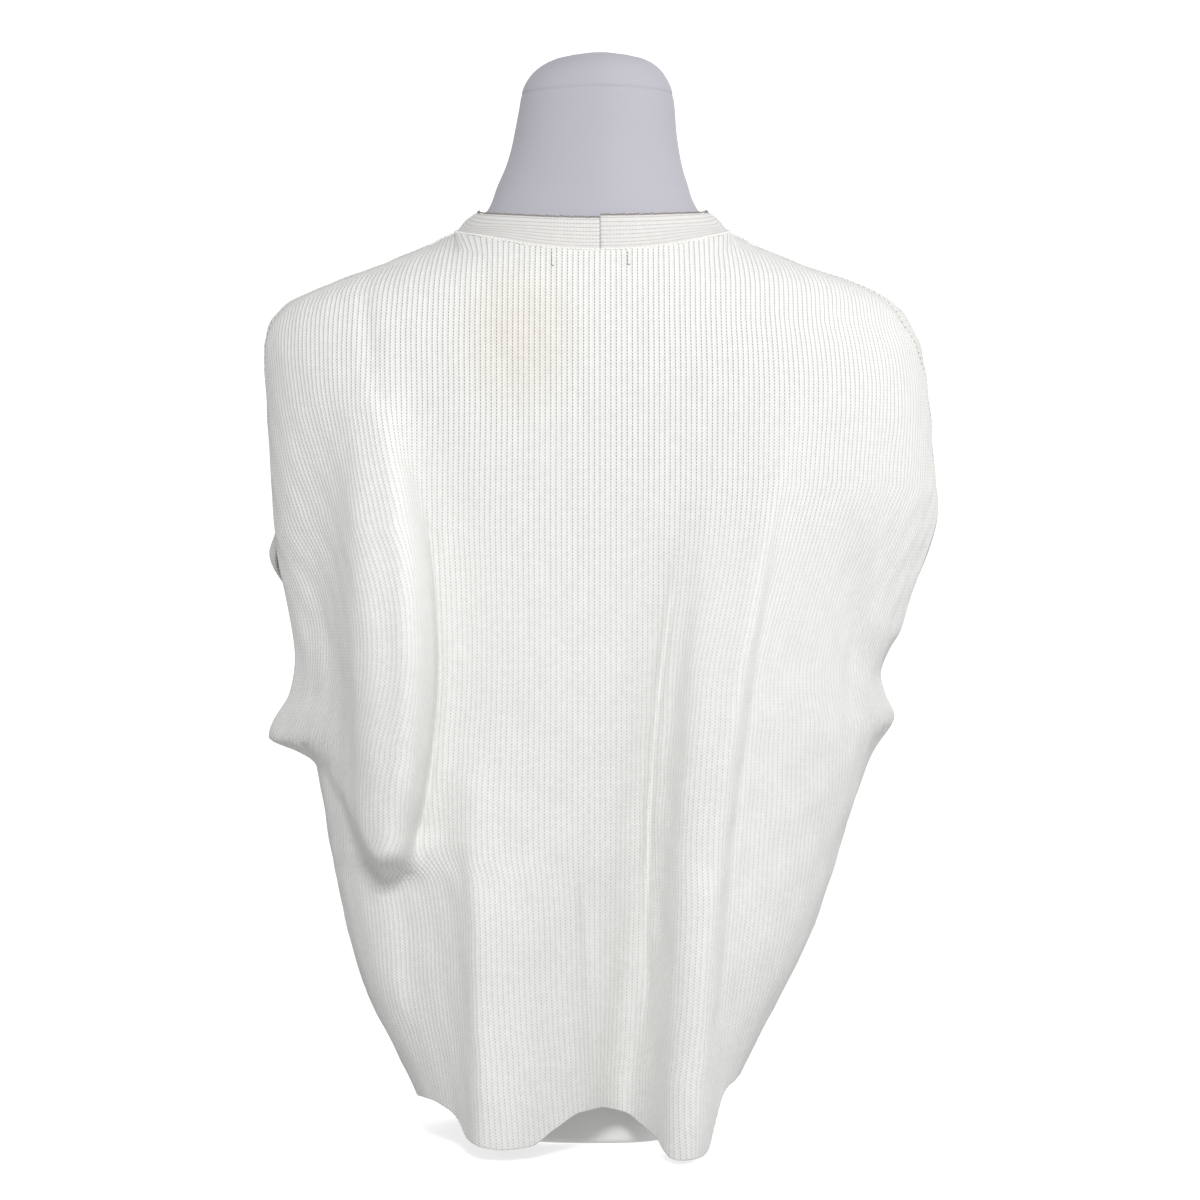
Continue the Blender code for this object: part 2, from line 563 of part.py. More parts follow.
def finish_object(name, mesh, material):
    """Turn the mesh outward, shift it to the frame's origin and link it as an object."""
    bmesh.ops.recalc_face_normals(mesh, faces=mesh.faces)
    if mesh.calc_volume(signed=True) < 0:
        bmesh.ops.reverse_faces(mesh, faces=mesh.faces)
    bmesh.ops.translate(mesh, verts=mesh.verts, vec=(*CENTRE_SHIFT, 0.0))
    data = bpy.data.meshes.new(name)
    mesh.to_mesh(data)
    mesh.free()
    data.shade_smooth()
    data.materials.append(material)
    obj = bpy.data.objects.new(name, data)
    bpy.data.collections[OBJECT_NAME].objects.link(obj)
    return obj


def plain_material(name, colour, roughness):
    """Principled material of one colour."""
    material = bpy.data.materials.new(name)
    material.use_nodes = True
    shader = material.node_tree.nodes["Principled BSDF"]
    shader.inputs["Base Color"].default_value = colour
    shader.inputs["Roughness"].default_value = roughness
    shader.inputs["Metallic"].default_value = 0.0
    return material


def main():
    """Clear the scene and build the vest and its form."""
    for obj in list(bpy.data.objects):
        bpy.data.objects.remove(obj, do_unlink=True)
    collection = bpy.data.collections.new(OBJECT_NAME)
    bpy.context.scene.collection.children.link(collection)
    panel("back_panel", BACK, plain_material("back_knit", IVORY, 0.9))
    panel("front_panel", FRONT, plain_material("front_knit", IVORY, 0.9))
    neckband("neckband_left", LEFT, plain_material("left_band_knit", IVORY, 0.9))
    neckband("neckband_right", RIGHT, plain_material("right_band_knit", IVORY, 0.9))
    dress_form("form_torso", plain_material("form_cover", LAVENDER_GREY, 0.7))


main()
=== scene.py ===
"""An ivory rib-knit sweater vest, seen from behind, on a limbless dress form.

The four knitted pieces are walls laid on one skin, which holds the drape: rings round the body
by height, a bulge at each underarm, long folds and finer creases.  Every rib of the knit is a
ridge in the outer wall and follows the straight grain of the cut piece.  Metres, +Z up, the
vest's back faces -Y.
"""

import logging
import math
from dataclasses import dataclass, field
from enum import Enum, IntEnum
from itertools import product
from typing import Any, NamedTuple, Sequence

import bmesh
import bpy
import numpy as np
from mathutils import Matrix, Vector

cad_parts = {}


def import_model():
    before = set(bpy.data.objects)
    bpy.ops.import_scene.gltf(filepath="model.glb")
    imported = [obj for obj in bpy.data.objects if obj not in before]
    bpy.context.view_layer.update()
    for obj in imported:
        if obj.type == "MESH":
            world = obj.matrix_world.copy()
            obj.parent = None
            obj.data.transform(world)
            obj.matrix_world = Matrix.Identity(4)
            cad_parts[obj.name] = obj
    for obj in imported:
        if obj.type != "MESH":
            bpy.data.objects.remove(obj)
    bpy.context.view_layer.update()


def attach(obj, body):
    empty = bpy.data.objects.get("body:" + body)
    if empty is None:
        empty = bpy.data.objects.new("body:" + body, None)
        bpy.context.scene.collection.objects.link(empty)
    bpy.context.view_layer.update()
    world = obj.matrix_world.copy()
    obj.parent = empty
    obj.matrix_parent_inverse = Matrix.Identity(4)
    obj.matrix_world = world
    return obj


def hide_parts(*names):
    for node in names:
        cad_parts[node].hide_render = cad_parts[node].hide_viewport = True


LOG = logging.getLogger("sweater_vest")
Path = tuple[np.ndarray, np.ndarray]     # points, and the outward direction at each

# ---------------------------------------------------------------- sizes shared with the solids
WALL = 0.0025
BAND_WALL = 0.0030
SEAM_GAP = 0.0003
BAND_RISE_SIDE = 0.0135
BACK_NECK_Z = 0.6350
BACK_NECK_POWER = 2.2
V_POINT_Z = 0.4400
V_LINE_POWER = 1.35
V_BAND_RISE = 0.0480
V_SEAM_LIFT = 0.0009
CENTRE_SHIFT = (-0.0012, -0.0004)
HALF_CUT = 0.335         # half the width of a panel at the armholes, in the flat cut
RIBS = 88                # on each half of a panel
MM = 0.001


class Hand(IntEnum):
    """A side of the vest, as seen from behind."""

    LEFT = -1
    RIGHT = 1


class Face(Enum):
    """A face of the vest."""

    BACK = "back"
    FRONT = "front"


BAND_RISE_BACK = {Hand.LEFT: 0.0240, Hand.RIGHT: 0.0258}
NECK_SIDE_Z = {Hand.LEFT: 0.6575, Hand.RIGHT: 0.6580}


class Armhole(NamedTuple):
    """An armhole: underarm, top of the opening, gape, spread of the bulge, and the front edge's lip."""

    underarm_z: float
    top_z: float
    gape: float
    bulge_spread: float
    lip_z: float
    lip: float


class SideRow(NamedTuple):
    """The skin at one side, at one height."""

    z: float
    reach: float
    flat: float
    seam_back: float = 0.0
    bulge: float = 0.0


class FaceRow(NamedTuple):
    """The skin at the back and front, at one height."""

    z: float
    back: float
    front: float
    back_square: float
    front_square: float


class HemRow(NamedTuple):
    """Hem height at a distance from the centre line of the flat panel."""

    flat: float
    z: float


class Fold(NamedTuple):
    """A fold down the cloth through three points, pushed out by its depth."""

    top_z: float
    top_x: float
    mid_z: float
    mid_x: float
    low_z: float
    low_x: float
    mid_depth: float
    low_depth: float
    left: float
    right: float
    slant: float = 0.0


class MarkLine(NamedTuple):
    """A line of old stitches on the back: its side, flat distance, top, foot and count."""

    hand: Hand
    flat: float
    top_z: float
    low_z: float
    count: int


class Section(NamedTuple):
    """The dress form's reach to each side, at one height."""

    z: float
    left: float
    right: float
    back: float
    front: float
    square: float


ARMHOLES = {
    Hand.LEFT: Armhole(0.287, 0.437, 0.075, 0.042, 0.42, 0.013),
    Hand.RIGHT: Armhole(0.302, 0.468, 0.075, 0.04, 0.47, 0.004),
}
LIP_TALL = 0.018         # half height of the lip where an armhole's front edge stands out
LIP_WIDE = 0.026
SIDES = {
    Hand.LEFT: (
        SideRow(0.0, 0.1165, 0.225), SideRow(0.029, 0.1312, 0.235), SideRow(0.074, 0.1538, 0.252),
        SideRow(0.103, 0.1685, 0.262), SideRow(0.1325, 0.1788, 0.271), SideRow(0.19, 0.1922, 0.286),
        SideRow(0.25, 0.2025, 0.3), SideRow(0.268, 0.205, 0.31, 0.0, 0.001),
        SideRow(0.278, 0.2072, 0.324, 0.0, 0.0125), SideRow(0.287, 0.21, 0.335, 0.0, 0.0315),
        SideRow(0.3, 0.2125, 0.335, 0.001, 0.0285), SideRow(0.322, 0.2165, 0.335, 0.003, 0.0155),
        SideRow(0.3515, 0.2215, 0.335, 0.004, 0.0055), SideRow(0.395, 0.2286, 0.335, 0.005, 0.003),
        SideRow(0.437, 0.235, 0.335, 0.006, 0.001), SideRow(0.483, 0.2388, 0.318, 0.012),
        SideRow(0.5413, 0.2425, 0.296, 0.018), SideRow(0.5705, 0.2445, 0.285, 0.022),
        SideRow(0.585, 0.2422, 0.276, 0.024), SideRow(0.5997, 0.233, 0.262, 0.026),
        SideRow(0.6143, 0.2045, 0.23, 0.025), SideRow(0.6289, 0.1675, 0.19, 0.021),
        SideRow(0.6435, 0.1318, 0.15, 0.013), SideRow(0.6575, 0.104, 0.107),
        SideRow(0.664, 0.0986, 0.102), SideRow(0.671, 0.0898, 0.096), SideRow(0.687, 0.0805, 0.086),
    ),
    Hand.RIGHT: (
        SideRow(0.0, 0.084, 0.22), SideRow(0.046, 0.1012, 0.235), SideRow(0.074, 0.1155, 0.246),
        SideRow(0.103, 0.1313, 0.256), SideRow(0.1325, 0.1466, 0.266),
        SideRow(0.1617, 0.1592, 0.274), SideRow(0.19, 0.1688, 0.281), SideRow(0.22, 0.1778, 0.289),
        SideRow(0.25, 0.187, 0.3, 0.0, 0.0005), SideRow(0.278, 0.1935, 0.318, 0.0, 0.0055),
        SideRow(0.302, 0.201, 0.335, 0.0, 0.0135), SideRow(0.322, 0.205, 0.335, 0.002, 0.002),
        SideRow(0.337, 0.2068, 0.335, 0.003, -0.0045),
        SideRow(0.3515, 0.2108, 0.335, 0.004, -0.0005), SideRow(0.366, 0.216, 0.335, 0.005, 0.0095),
        SideRow(0.381, 0.22, 0.335, 0.006, 0.013), SideRow(0.41, 0.228, 0.335, 0.007, 0.0158),
        SideRow(0.439, 0.2365, 0.335, 0.008, 0.011), SideRow(0.468, 0.241, 0.335, 0.009, 0.0045),
        SideRow(0.5121, 0.2405, 0.312, 0.018), SideRow(0.5413, 0.2378, 0.297, 0.024),
        SideRow(0.5705, 0.2335, 0.283, 0.034), SideRow(0.585, 0.228, 0.274, 0.038),
        SideRow(0.5997, 0.22, 0.258, 0.038), SideRow(0.6143, 0.1965, 0.228, 0.034),
        SideRow(0.6289, 0.155, 0.185, 0.024), SideRow(0.6435, 0.119, 0.146, 0.013),
        SideRow(0.658, 0.0925, 0.107), SideRow(0.664, 0.0876, 0.101), SideRow(0.6715, 0.079, 0.094),
        SideRow(0.687, 0.0695, 0.084),
    ),
}
FACES = (
    FaceRow(0.0, -0.114, 0.104, 3.6, 2.2), FaceRow(0.1, -0.118, 0.114, 2.7, 2.2),
    FaceRow(0.2, -0.121, 0.126, 2.4, 2.3), FaceRow(0.3, -0.12, 0.136, 2.6, 2.5),
    FaceRow(0.4, -0.118, 0.141, 2.9, 2.7), FaceRow(0.46, -0.118, 0.14, 2.9, 2.7),
    FaceRow(0.52, -0.117, 0.131, 2.8, 2.6), FaceRow(0.56, -0.114, 0.117, 2.7, 2.5),
    FaceRow(0.59, -0.108, 0.101, 2.5, 2.4), FaceRow(0.61, -0.101, 0.088, 2.4, 2.2),
    FaceRow(0.63, -0.089, 0.072, 2.2, 2.1), FaceRow(0.645, -0.077, 0.06, 2.1, 2.1),
    FaceRow(0.66, -0.069, 0.052, 2.1, 2.0), FaceRow(0.687, -0.06, 0.044, 2.0, 2.0),
)
HEMS = {
    Face.BACK: (
        HemRow(-0.235, 0.029), HemRow(-0.205, 0.0325), HemRow(-0.175, 0.0338),
        HemRow(-0.15, 0.0303), HemRow(-0.13, 0.0215), HemRow(-0.116, 0.014), HemRow(-0.1, 0.0122),
        HemRow(-0.08, 0.0095), HemRow(-0.062, 0.0105), HemRow(-0.04, 0.0224), HemRow(-0.02, 0.0315),
        HemRow(0.0, 0.0325), HemRow(0.02, 0.0282), HemRow(0.04, 0.0206), HemRow(0.06, 0.0155),
        HemRow(0.078, 0.009), HemRow(0.093, 0.0036), HemRow(0.112, 0.0032), HemRow(0.128, 0.006),
        HemRow(0.142, 0.018), HemRow(0.156, 0.038), HemRow(0.175, 0.0462), HemRow(0.2, 0.048),
        HemRow(0.235, 0.046),
    ),
    Face.FRONT: (
        HemRow(-0.235, 0.029), HemRow(-0.1, 0.012), HemRow(0.0, 0.022), HemRow(0.1, 0.012),
        HemRow(0.235, 0.046),
    ),
}
FOLDS = {
    Face.BACK: (
        Fold(0.592, -0.172, 0.38, -0.14, 0.204, -0.153, 0.036, 0.03, 0.044, 0.019, 1.4),
        Fold(0.575, -0.14, 0.39, -0.105, 0.23, -0.122, -0.009, -0.007, 0.013, 0.022),
        Fold(0.56, -0.205, 0.4, -0.203, 0.32, -0.206, -0.009, -0.006, 0.018, 0.018),
        Fold(0.31, -0.09, 0.13, -0.082, 0.0, -0.08, 0.019, 0.032, 0.017, 0.046),
        Fold(0.24, -0.009, 0.15, -0.008, 0.07, -0.004, -0.004, -0.003, 0.012, 0.012),
        Fold(0.48, 0.064, 0.24, 0.036, 0.0, 0.016, -0.016, -0.036, 0.022, 0.022),
        Fold(0.57, 0.15, 0.28, 0.086, 0.0, 0.067, 0.024, 0.035, 0.03, 0.016),
        Fold(0.47, 0.186, 0.38, 0.18, 0.31, 0.176, -0.009, -0.005, 0.018, 0.018),
    ),
    Face.FRONT: (
        Fold(0.42, -0.09, 0.2, -0.078, 0.0, -0.062, 0.012, 0.025, 0.03, 0.03),
        Fold(0.42, 0.085, 0.2, 0.07, 0.0, 0.05, 0.014, 0.026, 0.028, 0.028),
        Fold(0.36, 0.0, 0.18, -0.004, 0.0, -0.006, -0.008, -0.018, 0.024, 0.024),
        Fold(0.57, -0.168, 0.38, -0.15, 0.22, -0.16, 0.022, 0.012, 0.04, 0.022, 0.8),
        Fold(0.57, 0.165, 0.38, 0.148, 0.23, 0.154, 0.02, 0.01, 0.022, 0.038),
    ),
}
# Finer creases, only here, in rows like a fold's.  Most are a few millimetres deep; the fuller ones
# turn the pouch's and the ridge's faces to the viewer.
CREASES = {
    Face.BACK: (
        Fold(0.25, -0.013, 0.16, -0.01, 0.105, -0.006, -0.003, -0.002, 0.004, 0.007),
        Fold(0.33, 0.034, 0.19, 0.038, 0.11, 0.05, -0.0035, -0.0025, 0.005, 0.008),
        Fold(0.13, -0.152, 0.118, -0.146, 0.1, -0.14, 0.003, 0.0025, 0.006, 0.006),
        Fold(0.56, 0.204, 0.45, 0.203, 0.38, 0.201, -0.004, -0.003, 0.008, 0.006),
        Fold(0.43, 0.19, 0.35, 0.18, 0.29, 0.178, -0.005, -0.0045, 0.007, 0.009),
        Fold(0.625, -0.166, 0.57, -0.165, 0.53, -0.153, -0.0045, -0.004, 0.0035, 0.008),
        Fold(0.56, -0.162, 0.38, -0.126, 0.212, -0.14, 0.014, 0.012, 0.014, 0.0055),
        Fold(0.56, -0.166, 0.38, -0.168, 0.212, -0.162, 0.022, 0.02, 0.013, 0.024, 1.4),
        Fold(0.56, 0.146, 0.28, 0.0925, 0.0, 0.076, 0.005, 0.006, 0.012, 0.006),
        Fold(0.5, 0.082, 0.28, 0.06, 0.0, 0.048, 0.013, 0.013, 0.008, 0.018),
        Fold(0.54, -0.15, 0.38, -0.114, 0.222, -0.128, -0.008, -0.007, 0.003, 0.0035),
        Fold(0.275, -0.138, 0.15, -0.134, 0.0, -0.128, -0.013, -0.015, 0.02, 0.034),
        Fold(0.5, 0.137, 0.33, 0.106, 0.1, 0.082, -0.005, -0.005, 0.003, 0.0045),
        Fold(0.46, 0.062, 0.33, 0.042, 0.11, 0.034, -0.006, -0.005, 0.0035, 0.003),
        Fold(0.3, -0.094, 0.13, -0.088, 0.0, -0.089, 0.004, 0.006, 0.006, 0.012),
        Fold(0.44, -0.215, 0.35, -0.188, 0.29, -0.176, -0.005, -0.004, 0.012, 0.007),
    ),
    Face.FRONT: (
        Fold(0.4, -0.04, 0.28, -0.046, 0.12, -0.04, 0.003, 0.003, 0.012, 0.012),
        Fold(0.4, 0.04, 0.26, 0.036, 0.14, 0.04, -0.0025, -0.002, 0.008, 0.01),
    ),
}
FOLD_END = 0.016         # length over which a fold dies out at its low end
FOLD_FADE = 0.6          # how fast folds fade toward the side, as a power of the depth
GAPE_POWER = 0.8         # below 1, an armhole opens quickly at its ends
FORM_BODY = (
    Section(0.0, 0.088, 0.06, -0.056, 0.066, 2.3), Section(0.06, 0.092, 0.066, -0.06, 0.07, 2.3),
    Section(0.15, 0.1, 0.082, -0.07, 0.076, 2.3), Section(0.24, 0.112, 0.1, -0.08, 0.084, 2.3),
    Section(0.33, 0.13, 0.122, -0.09, 0.098, 2.3), Section(0.42, 0.152, 0.146, -0.098, 0.112, 2.3),
    Section(0.5, 0.172, 0.166, -0.1, 0.112, 2.3), Section(0.56, 0.19, 0.182, -0.098, 0.098, 2.3),
    Section(0.6, 0.2, 0.19, -0.092, 0.084, 2.2), Section(0.65, 0.11, 0.1, -0.07, 0.054, 2.1),
    Section(0.67, 0.087, 0.0765, -0.062, 0.046, 2.0),
    Section(0.687, 0.0774, 0.0664, -0.057, 0.042, 2.0),
    Section(0.702, 0.0696, 0.0606, -0.054, 0.041, 2.0),
    Section(0.7165, 0.065, 0.0577, -0.052, 0.041, 2.0),
    Section(0.731, 0.062, 0.0557, -0.05, 0.042, 2.0),
    Section(0.7457, 0.0592, 0.0547, -0.048, 0.043, 2.0),
    Section(0.76, 0.0565, 0.0525, -0.046, 0.043, 2.0),
    Section(0.768, 0.0525, 0.049, -0.043, 0.041, 2.0),
    Section(0.775, 0.046, 0.044, -0.038, 0.037, 2.0),
    Section(0.782, 0.033, 0.033, -0.028, 0.029, 2.0),
    Section(0.7865, 0.012, 0.012, -0.01, 0.012, 2.0),
)
FORM_TOP_Z = 0.7872
FORM_MEETS_CLOTH = (0.530, 0.612)
FORM_LEAVES_CLOTH = (0.676, 0.700)
FORM_DEPTH_BACK = 0.0038
FORM_DEPTH_FRONT = 0.0056
FORM_FRONT_FROM = 0.34
SKIN_TOP_Z = 0.687


def hem_end(face: Face, hand: Hand) -> float:
    """Height of the hem where it meets the side seam."""
    return HEMS[face][-1 if hand is Hand.RIGHT else 0].z


# ---------------------------------------------------------------- curves
def eased(at: Any, stations: Sequence[float], values: Sequence[float]) -> np.ndarray:
    """Smooth curve through a table that never overshoots between two of its rows.

    Args:
        at: where to read the curve.
        stations: the table's keys, rising.
        values: the table's values.

    Returns:
        The curve's values.
    """
    keys = np.asarray(stations, float)
    rows = np.asarray(values, float)
    span = np.diff(keys)
    slope = np.diff(rows) / span
    same_way = slope[:-1] * slope[1:] > 0
    before = np.where(same_way, slope[:-1], 1.0)
    after = np.where(same_way, slope[1:], 1.0)
    first = 2 * span[1:] + span[:-1]
    second = span[1:] + 2 * span[:-1]
    tangent = np.empty_like(rows)
    tangent[0], tangent[-1] = slope[0], slope[-1]
    tangent[1:-1] = np.where(same_way, (first + second) / (first / before + second / after), 0.0)
    place = np.clip(np.asarray(at, float), keys[0], keys[-1])
    row = np.clip(np.searchsorted(keys, place, side="right") - 1, 0, len(span) - 1)
    t = (place - keys[row]) / span[row]
    start = (1 + 2 * t) * (1 - t) ** 2 * rows[row]
    end = t * t * (3 - 2 * t) * rows[row + 1]
    lean = t * (1 - t) ** 2 * tangent[row] - t * t * (1 - t) * tangent[row + 1]
    return start + end + span[row] * lean


def column(table: Sequence[Any], name: str, at: Any, key: str = "z") -> np.ndarray:
    """A named column of a table, at any value of its key."""
    return eased(at, [getattr(row, key) for row in table], [getattr(row, name) for row in table])


def smooth(t: Any) -> np.ndarray:
    """0 below 0, 1 above 1 and an S between."""
    t = np.clip(t, 0.0, 1.0)
    return t * t * (3 - 2 * t)


def unit(vectors: np.ndarray) -> np.ndarray:
    """Vectors made one metre long."""
    return vectors / np.maximum(np.linalg.norm(vectors, axis=-1, keepdims=True), 1e-12)


# ---------------------------------------------------------------- the skin of the worn cloth
@dataclass
class Skin:
    """The outer skin of the worn cloth, kept as a table of half rings by side and height."""

    quarter_samples: int = 160
    share_samples: int = 561
    levels: np.ndarray = field(default_factory=lambda: np.unique(
        np.concatenate([np.linspace(0.0, 0.60, 241), np.linspace(0.60, SKIN_TOP_Z, 88)])))
    table: dict[Hand, np.ndarray] = field(default_factory=dict)
    out: dict[Hand, np.ndarray] = field(default_factory=dict)
    total: dict[Hand, np.ndarray] = field(default_factory=dict)
    side_run: dict[Hand, np.ndarray] = field(default_factory=dict)

    def __post_init__(self) -> None:
        """Work out both sides' rings and their outward directions once."""
        shares = np.linspace(0.0, 1.0, self.share_samples)
        for hand in Hand:
            ring, run = self.ring(hand, self.levels)
            points = np.empty((len(self.levels), self.share_samples, 3))
            for i, z in enumerate(self.levels):
                at = shares * run[i, -1]
                points[i, :, 0] = np.interp(at, run[i], ring[i, :, 0])
                points[i, :, 1] = np.interp(at, run[i], ring[i, :, 1])
                points[i, :, 2] = z
            across = np.gradient(points, shares, axis=1)
            upward = np.gradient(points, self.levels, axis=0)
            normal = int(hand) * np.cross(across, upward)
            normal[:, 0, 0] = normal[:, -1, 0] = 0.0
            self.table[hand], self.out[hand] = points, unit(normal)
            self.total[hand] = run[:, -1]
            self.side_run[hand] = run[:, self.quarter_samples - 1]

    @staticmethod
    def fold_line(fold: Fold, z: np.ndarray) -> np.ndarray:
        """Where a fold lies across the cloth: a parabola through its three points.

        Args:
            fold: the fold.
            z: heights.

        Returns:
            Its distance from the centre line at each height.
        """
        z = np.clip(z, fold.low_z, fold.top_z)
        points = ((fold.top_z, fold.top_x), (fold.mid_z, fold.mid_x), (fold.low_z, fold.low_x))
        line = np.zeros_like(z)
        for i, (own_z, own_x) in enumerate(points):
            others = [points[k][0] for k in range(3) if k != i]
            share = (z - others[0]) * (z - others[1])
            line = line + own_x * share / ((own_z - others[0]) * (own_z - others[1]))
        return line

    @staticmethod
    def fold_depth(fold: Fold, z: np.ndarray, off: np.ndarray) -> np.ndarray:
        """Depth of a fold by height; it starts from nothing at its top.

        Args:
            fold: the fold.
            z: heights.
            off: distances from its line, negative on its left.

        Returns:
            How far it stands out, before it falls off to the sides.
        """
        upper = fold.mid_depth * smooth((fold.top_z - z) / (fold.top_z - fold.mid_z))
        change = smooth((z - fold.low_z) / (fold.mid_z - fold.low_z))
        lower = fold.low_depth + (fold.mid_depth - fold.low_depth) * change
        depth = np.where(z > fold.mid_z, upper, lower)
        if fold.low_z > 0:
            end_z = fold.low_z + fold.slant * np.clip(-off, 0.0, None)
            depth = depth * smooth((z - end_z) / FOLD_END + 1.0)
        return depth

    def relief(self, face: Face, x: np.ndarray, z: np.ndarray) -> np.ndarray:
        """How far all folds and creases of a face push its cloth out.

        Args:
            face: back or front.
            x: distances from the centre line.
            z: heights.

        Returns:
            The push at each place.
        """
        total = np.zeros_like(x)
        for fold in (*FOLDS[face], *CREASES[face]):
            off = x - self.fold_line(fold, z)
            width = np.where(off < 0, fold.left, fold.right)
            total += self.fold_depth(fold, z, off) * np.exp(-(off / width) ** 2)
        return total

    def quarter(self, reach: np.ndarray, face: np.ndarray,
                square: np.ndarray) -> tuple[np.ndarray, np.ndarray]:
        """Quarter of a rounded section, from the middle of a face to the side.

        Args:
            reach: its reach to the side, by height.
            face: its depth at the middle of the face.
            square: 2 for an ellipse, and more for a squarer section.

        Returns:
            Distances to the side and depths, by height and angle.
        """
        angle = np.linspace(0.0, math.pi / 2, self.quarter_samples)[None, :]
        across = np.abs(np.sin(angle) / reach) ** square
        deep = np.abs(np.cos(angle) / face) ** square
        radius = (across + deep) ** (-1.0 / square)
        return radius * np.sin(angle), radius * np.cos(angle)

    @staticmethod
    def joined(hand: Hand, back: tuple, front: tuple) -> tuple[np.ndarray, np.ndarray]:
        """Half ring from the centre back round one side to the centre front, with its run.

        Args:
            hand: the side.
            back: the back quarter, as `quarter` gives it.
            front: the front quarter.

        Returns:
            The half ring and the distance walked along it.
        """
        x = int(hand) * np.concatenate([back[0], front[0][:, -2::-1]], axis=1)
        y = np.concatenate([-back[1], front[1][:, -2::-1]], axis=1)
        return Skin.with_run(np.stack([x, y], axis=-1))

    @staticmethod
    def with_run(ring: np.ndarray) -> tuple[np.ndarray, np.ndarray]:
        """Pair a ring with the distance walked along it."""
        step = np.linalg.norm(np.diff(ring, axis=1), axis=2)
        run = np.concatenate([np.zeros((len(ring), 1)), np.cumsum(step, axis=1)], axis=1)
        return ring, run

    def ring(self, hand: Hand, z: np.ndarray) -> tuple[np.ndarray, np.ndarray]:
        """Half rings of the cloth at some heights, with the distance walked along each.

        Args:
            hand: the side.
            z: heights.

        Returns:
            Places across and deep, by height, and the distance walked to each.
        """
        z = np.asarray(z, float)[:, None]
        reach = column(SIDES[hand], "reach", z)
        halves = {}
        for face in Face:
            depth = np.abs(column(FACES, face.value, z))
            x, y = self.quarter(reach, depth, column(FACES, face.value + "_square", z))
            push = self.relief(face, int(hand) * x, z + 0 * x) * (y / depth) ** FOLD_FADE
            halves[face] = (x, y + push)
        ring, run = self.joined(hand, halves[Face.BACK], halves[Face.FRONT])
        from_side = run - run[:, self.quarter_samples - 1:self.quarter_samples]
        bulge = column(SIDES[hand], "bulge", z)
        hole = ARMHOLES[hand]
        ring[..., 0] += int(hand) * bulge * np.exp(-(from_side / hole.bulge_spread) ** 2)
        lip = hole.lip * np.exp(-((z - hole.lip_z) / LIP_TALL) ** 2)
        ring[..., 0] += int(hand) * lip * np.exp(-((from_side - hole.gape / 2) / LIP_WIDE) ** 2)
        return self.with_run(ring)

    def look_up(self, hand: Hand, z: np.ndarray, share: np.ndarray) -> Path:
        """Points on the skin and its outward direction there.

        Args:
            hand: the side.
            z: heights, of any shape.
            share: shares of the way round the half ring, of the same shape.

        Returns:
            The points and the outward directions.
        """
        z = np.clip(z, self.levels[0], self.levels[-1])
        row = np.clip(np.searchsorted(self.levels, z, side="right") - 1, 0, len(self.levels) - 2)
        up = ((z - self.levels[row]) / (self.levels[row + 1] - self.levels[row]))[..., None]
        place = np.clip(share, 0.0, 1.0) * (self.share_samples - 1)
        cell = np.clip(place.astype(int), 0, self.share_samples - 2)
        on = (place - cell)[..., None]
        found = []
        for data in (self.table[hand], self.out[hand]):
            low = data[row, cell] * (1 - on) + data[row, cell + 1] * on
            high = data[row + 1, cell] * (1 - on) + data[row + 1, cell + 1] * on
            found.append(low * (1 - up) + high * up)
        return found[0], unit(found[1])

    def seam_run(self, hand: Hand) -> np.ndarray:
        """Distance from the centre back to the side seam at each level."""
        return self.side_run[hand] - column(SIDES[hand], "seam_back", self.levels)

    def share_of(self, hand: Hand, face: Face, flat: np.ndarray, z: np.ndarray) -> np.ndarray:
        """Turn distances from the centre line of the flat cut into shares of the half ring.

        Args:
            hand: the side.
            face: back or front.
            flat: distances from the centre line in the cut.
            z: heights.

        Returns:
            Shares of the way from the centre back to the centre front.
        """
        levels, total, seam = self.levels, self.total[hand], self.seam_run(hand)
        hole = ARMHOLES[hand]
        opening = np.clip((levels - hole.underarm_z) / (hole.top_z - hole.underarm_z), 0.0, 1.0)
        gape = hole.gape * np.sin(math.pi * opening) ** GAPE_POWER
        worn = (seam if face is Face.BACK else total - seam) - gape / 2 - SEAM_GAP / 2
        full = column(SIDES[hand], "flat", z)
        part = np.clip(flat / full, 0.0, 1.0)
        along = part * full + (np.interp(z, levels, worn) - full) * part ** 2
        share = along / np.interp(z, levels, total)
        return share if face is Face.BACK else 1.0 - share

    def seam_share(self, hand: Hand, z: np.ndarray) -> np.ndarray:
        """Share of the half ring at which the side or shoulder seam lies."""
        return np.interp(z, self.levels, self.seam_run(hand) / self.total[hand])


def neck_line(hand: Hand, face: Face, lift: float, part: float) -> tuple[float, float]:
    """Height and flat distance along a line `lift` (0 to 1) of the way up the neckband.

    Args:
        hand: the side.
        face: back or front.
        lift: 0 at the neck seam, 1 at the band's free edge.
        part: 0 at the centre line, 1 at the shoulder seam.

    Returns:
        The height and the distance from the centre line in the flat cut.
    """
    neck_z = NECK_SIDE_Z[hand] + lift * BAND_RISE_SIDE
    neck_flat = float(column(SIDES[hand], "flat", neck_z))
    if face is Face.BACK:
        centre_z = BACK_NECK_Z + lift * BAND_RISE_BACK[hand]
        return centre_z + (neck_z - centre_z) * part ** BACK_NECK_POWER, neck_flat * part
    centre_z = V_POINT_Z + lift * V_BAND_RISE
    return centre_z + (neck_z - centre_z) * (1 - (1 - part) ** V_LINE_POWER), neck_flat * part


# ---------------------------------------------------------------- nodes and finishes
def linear(code: str) -> tuple[float, float, float, float]:
    """Linear colour of an sRGB hex code."""
    parts = [int(code[i:i + 2], 16) / 255 for i in (0, 2, 4)]
    curved = [p / 12.92 if p <= 0.04045 else ((p + 0.055) / 1.055) ** 2.4 for p in parts]
    return (*curved, 1.0)


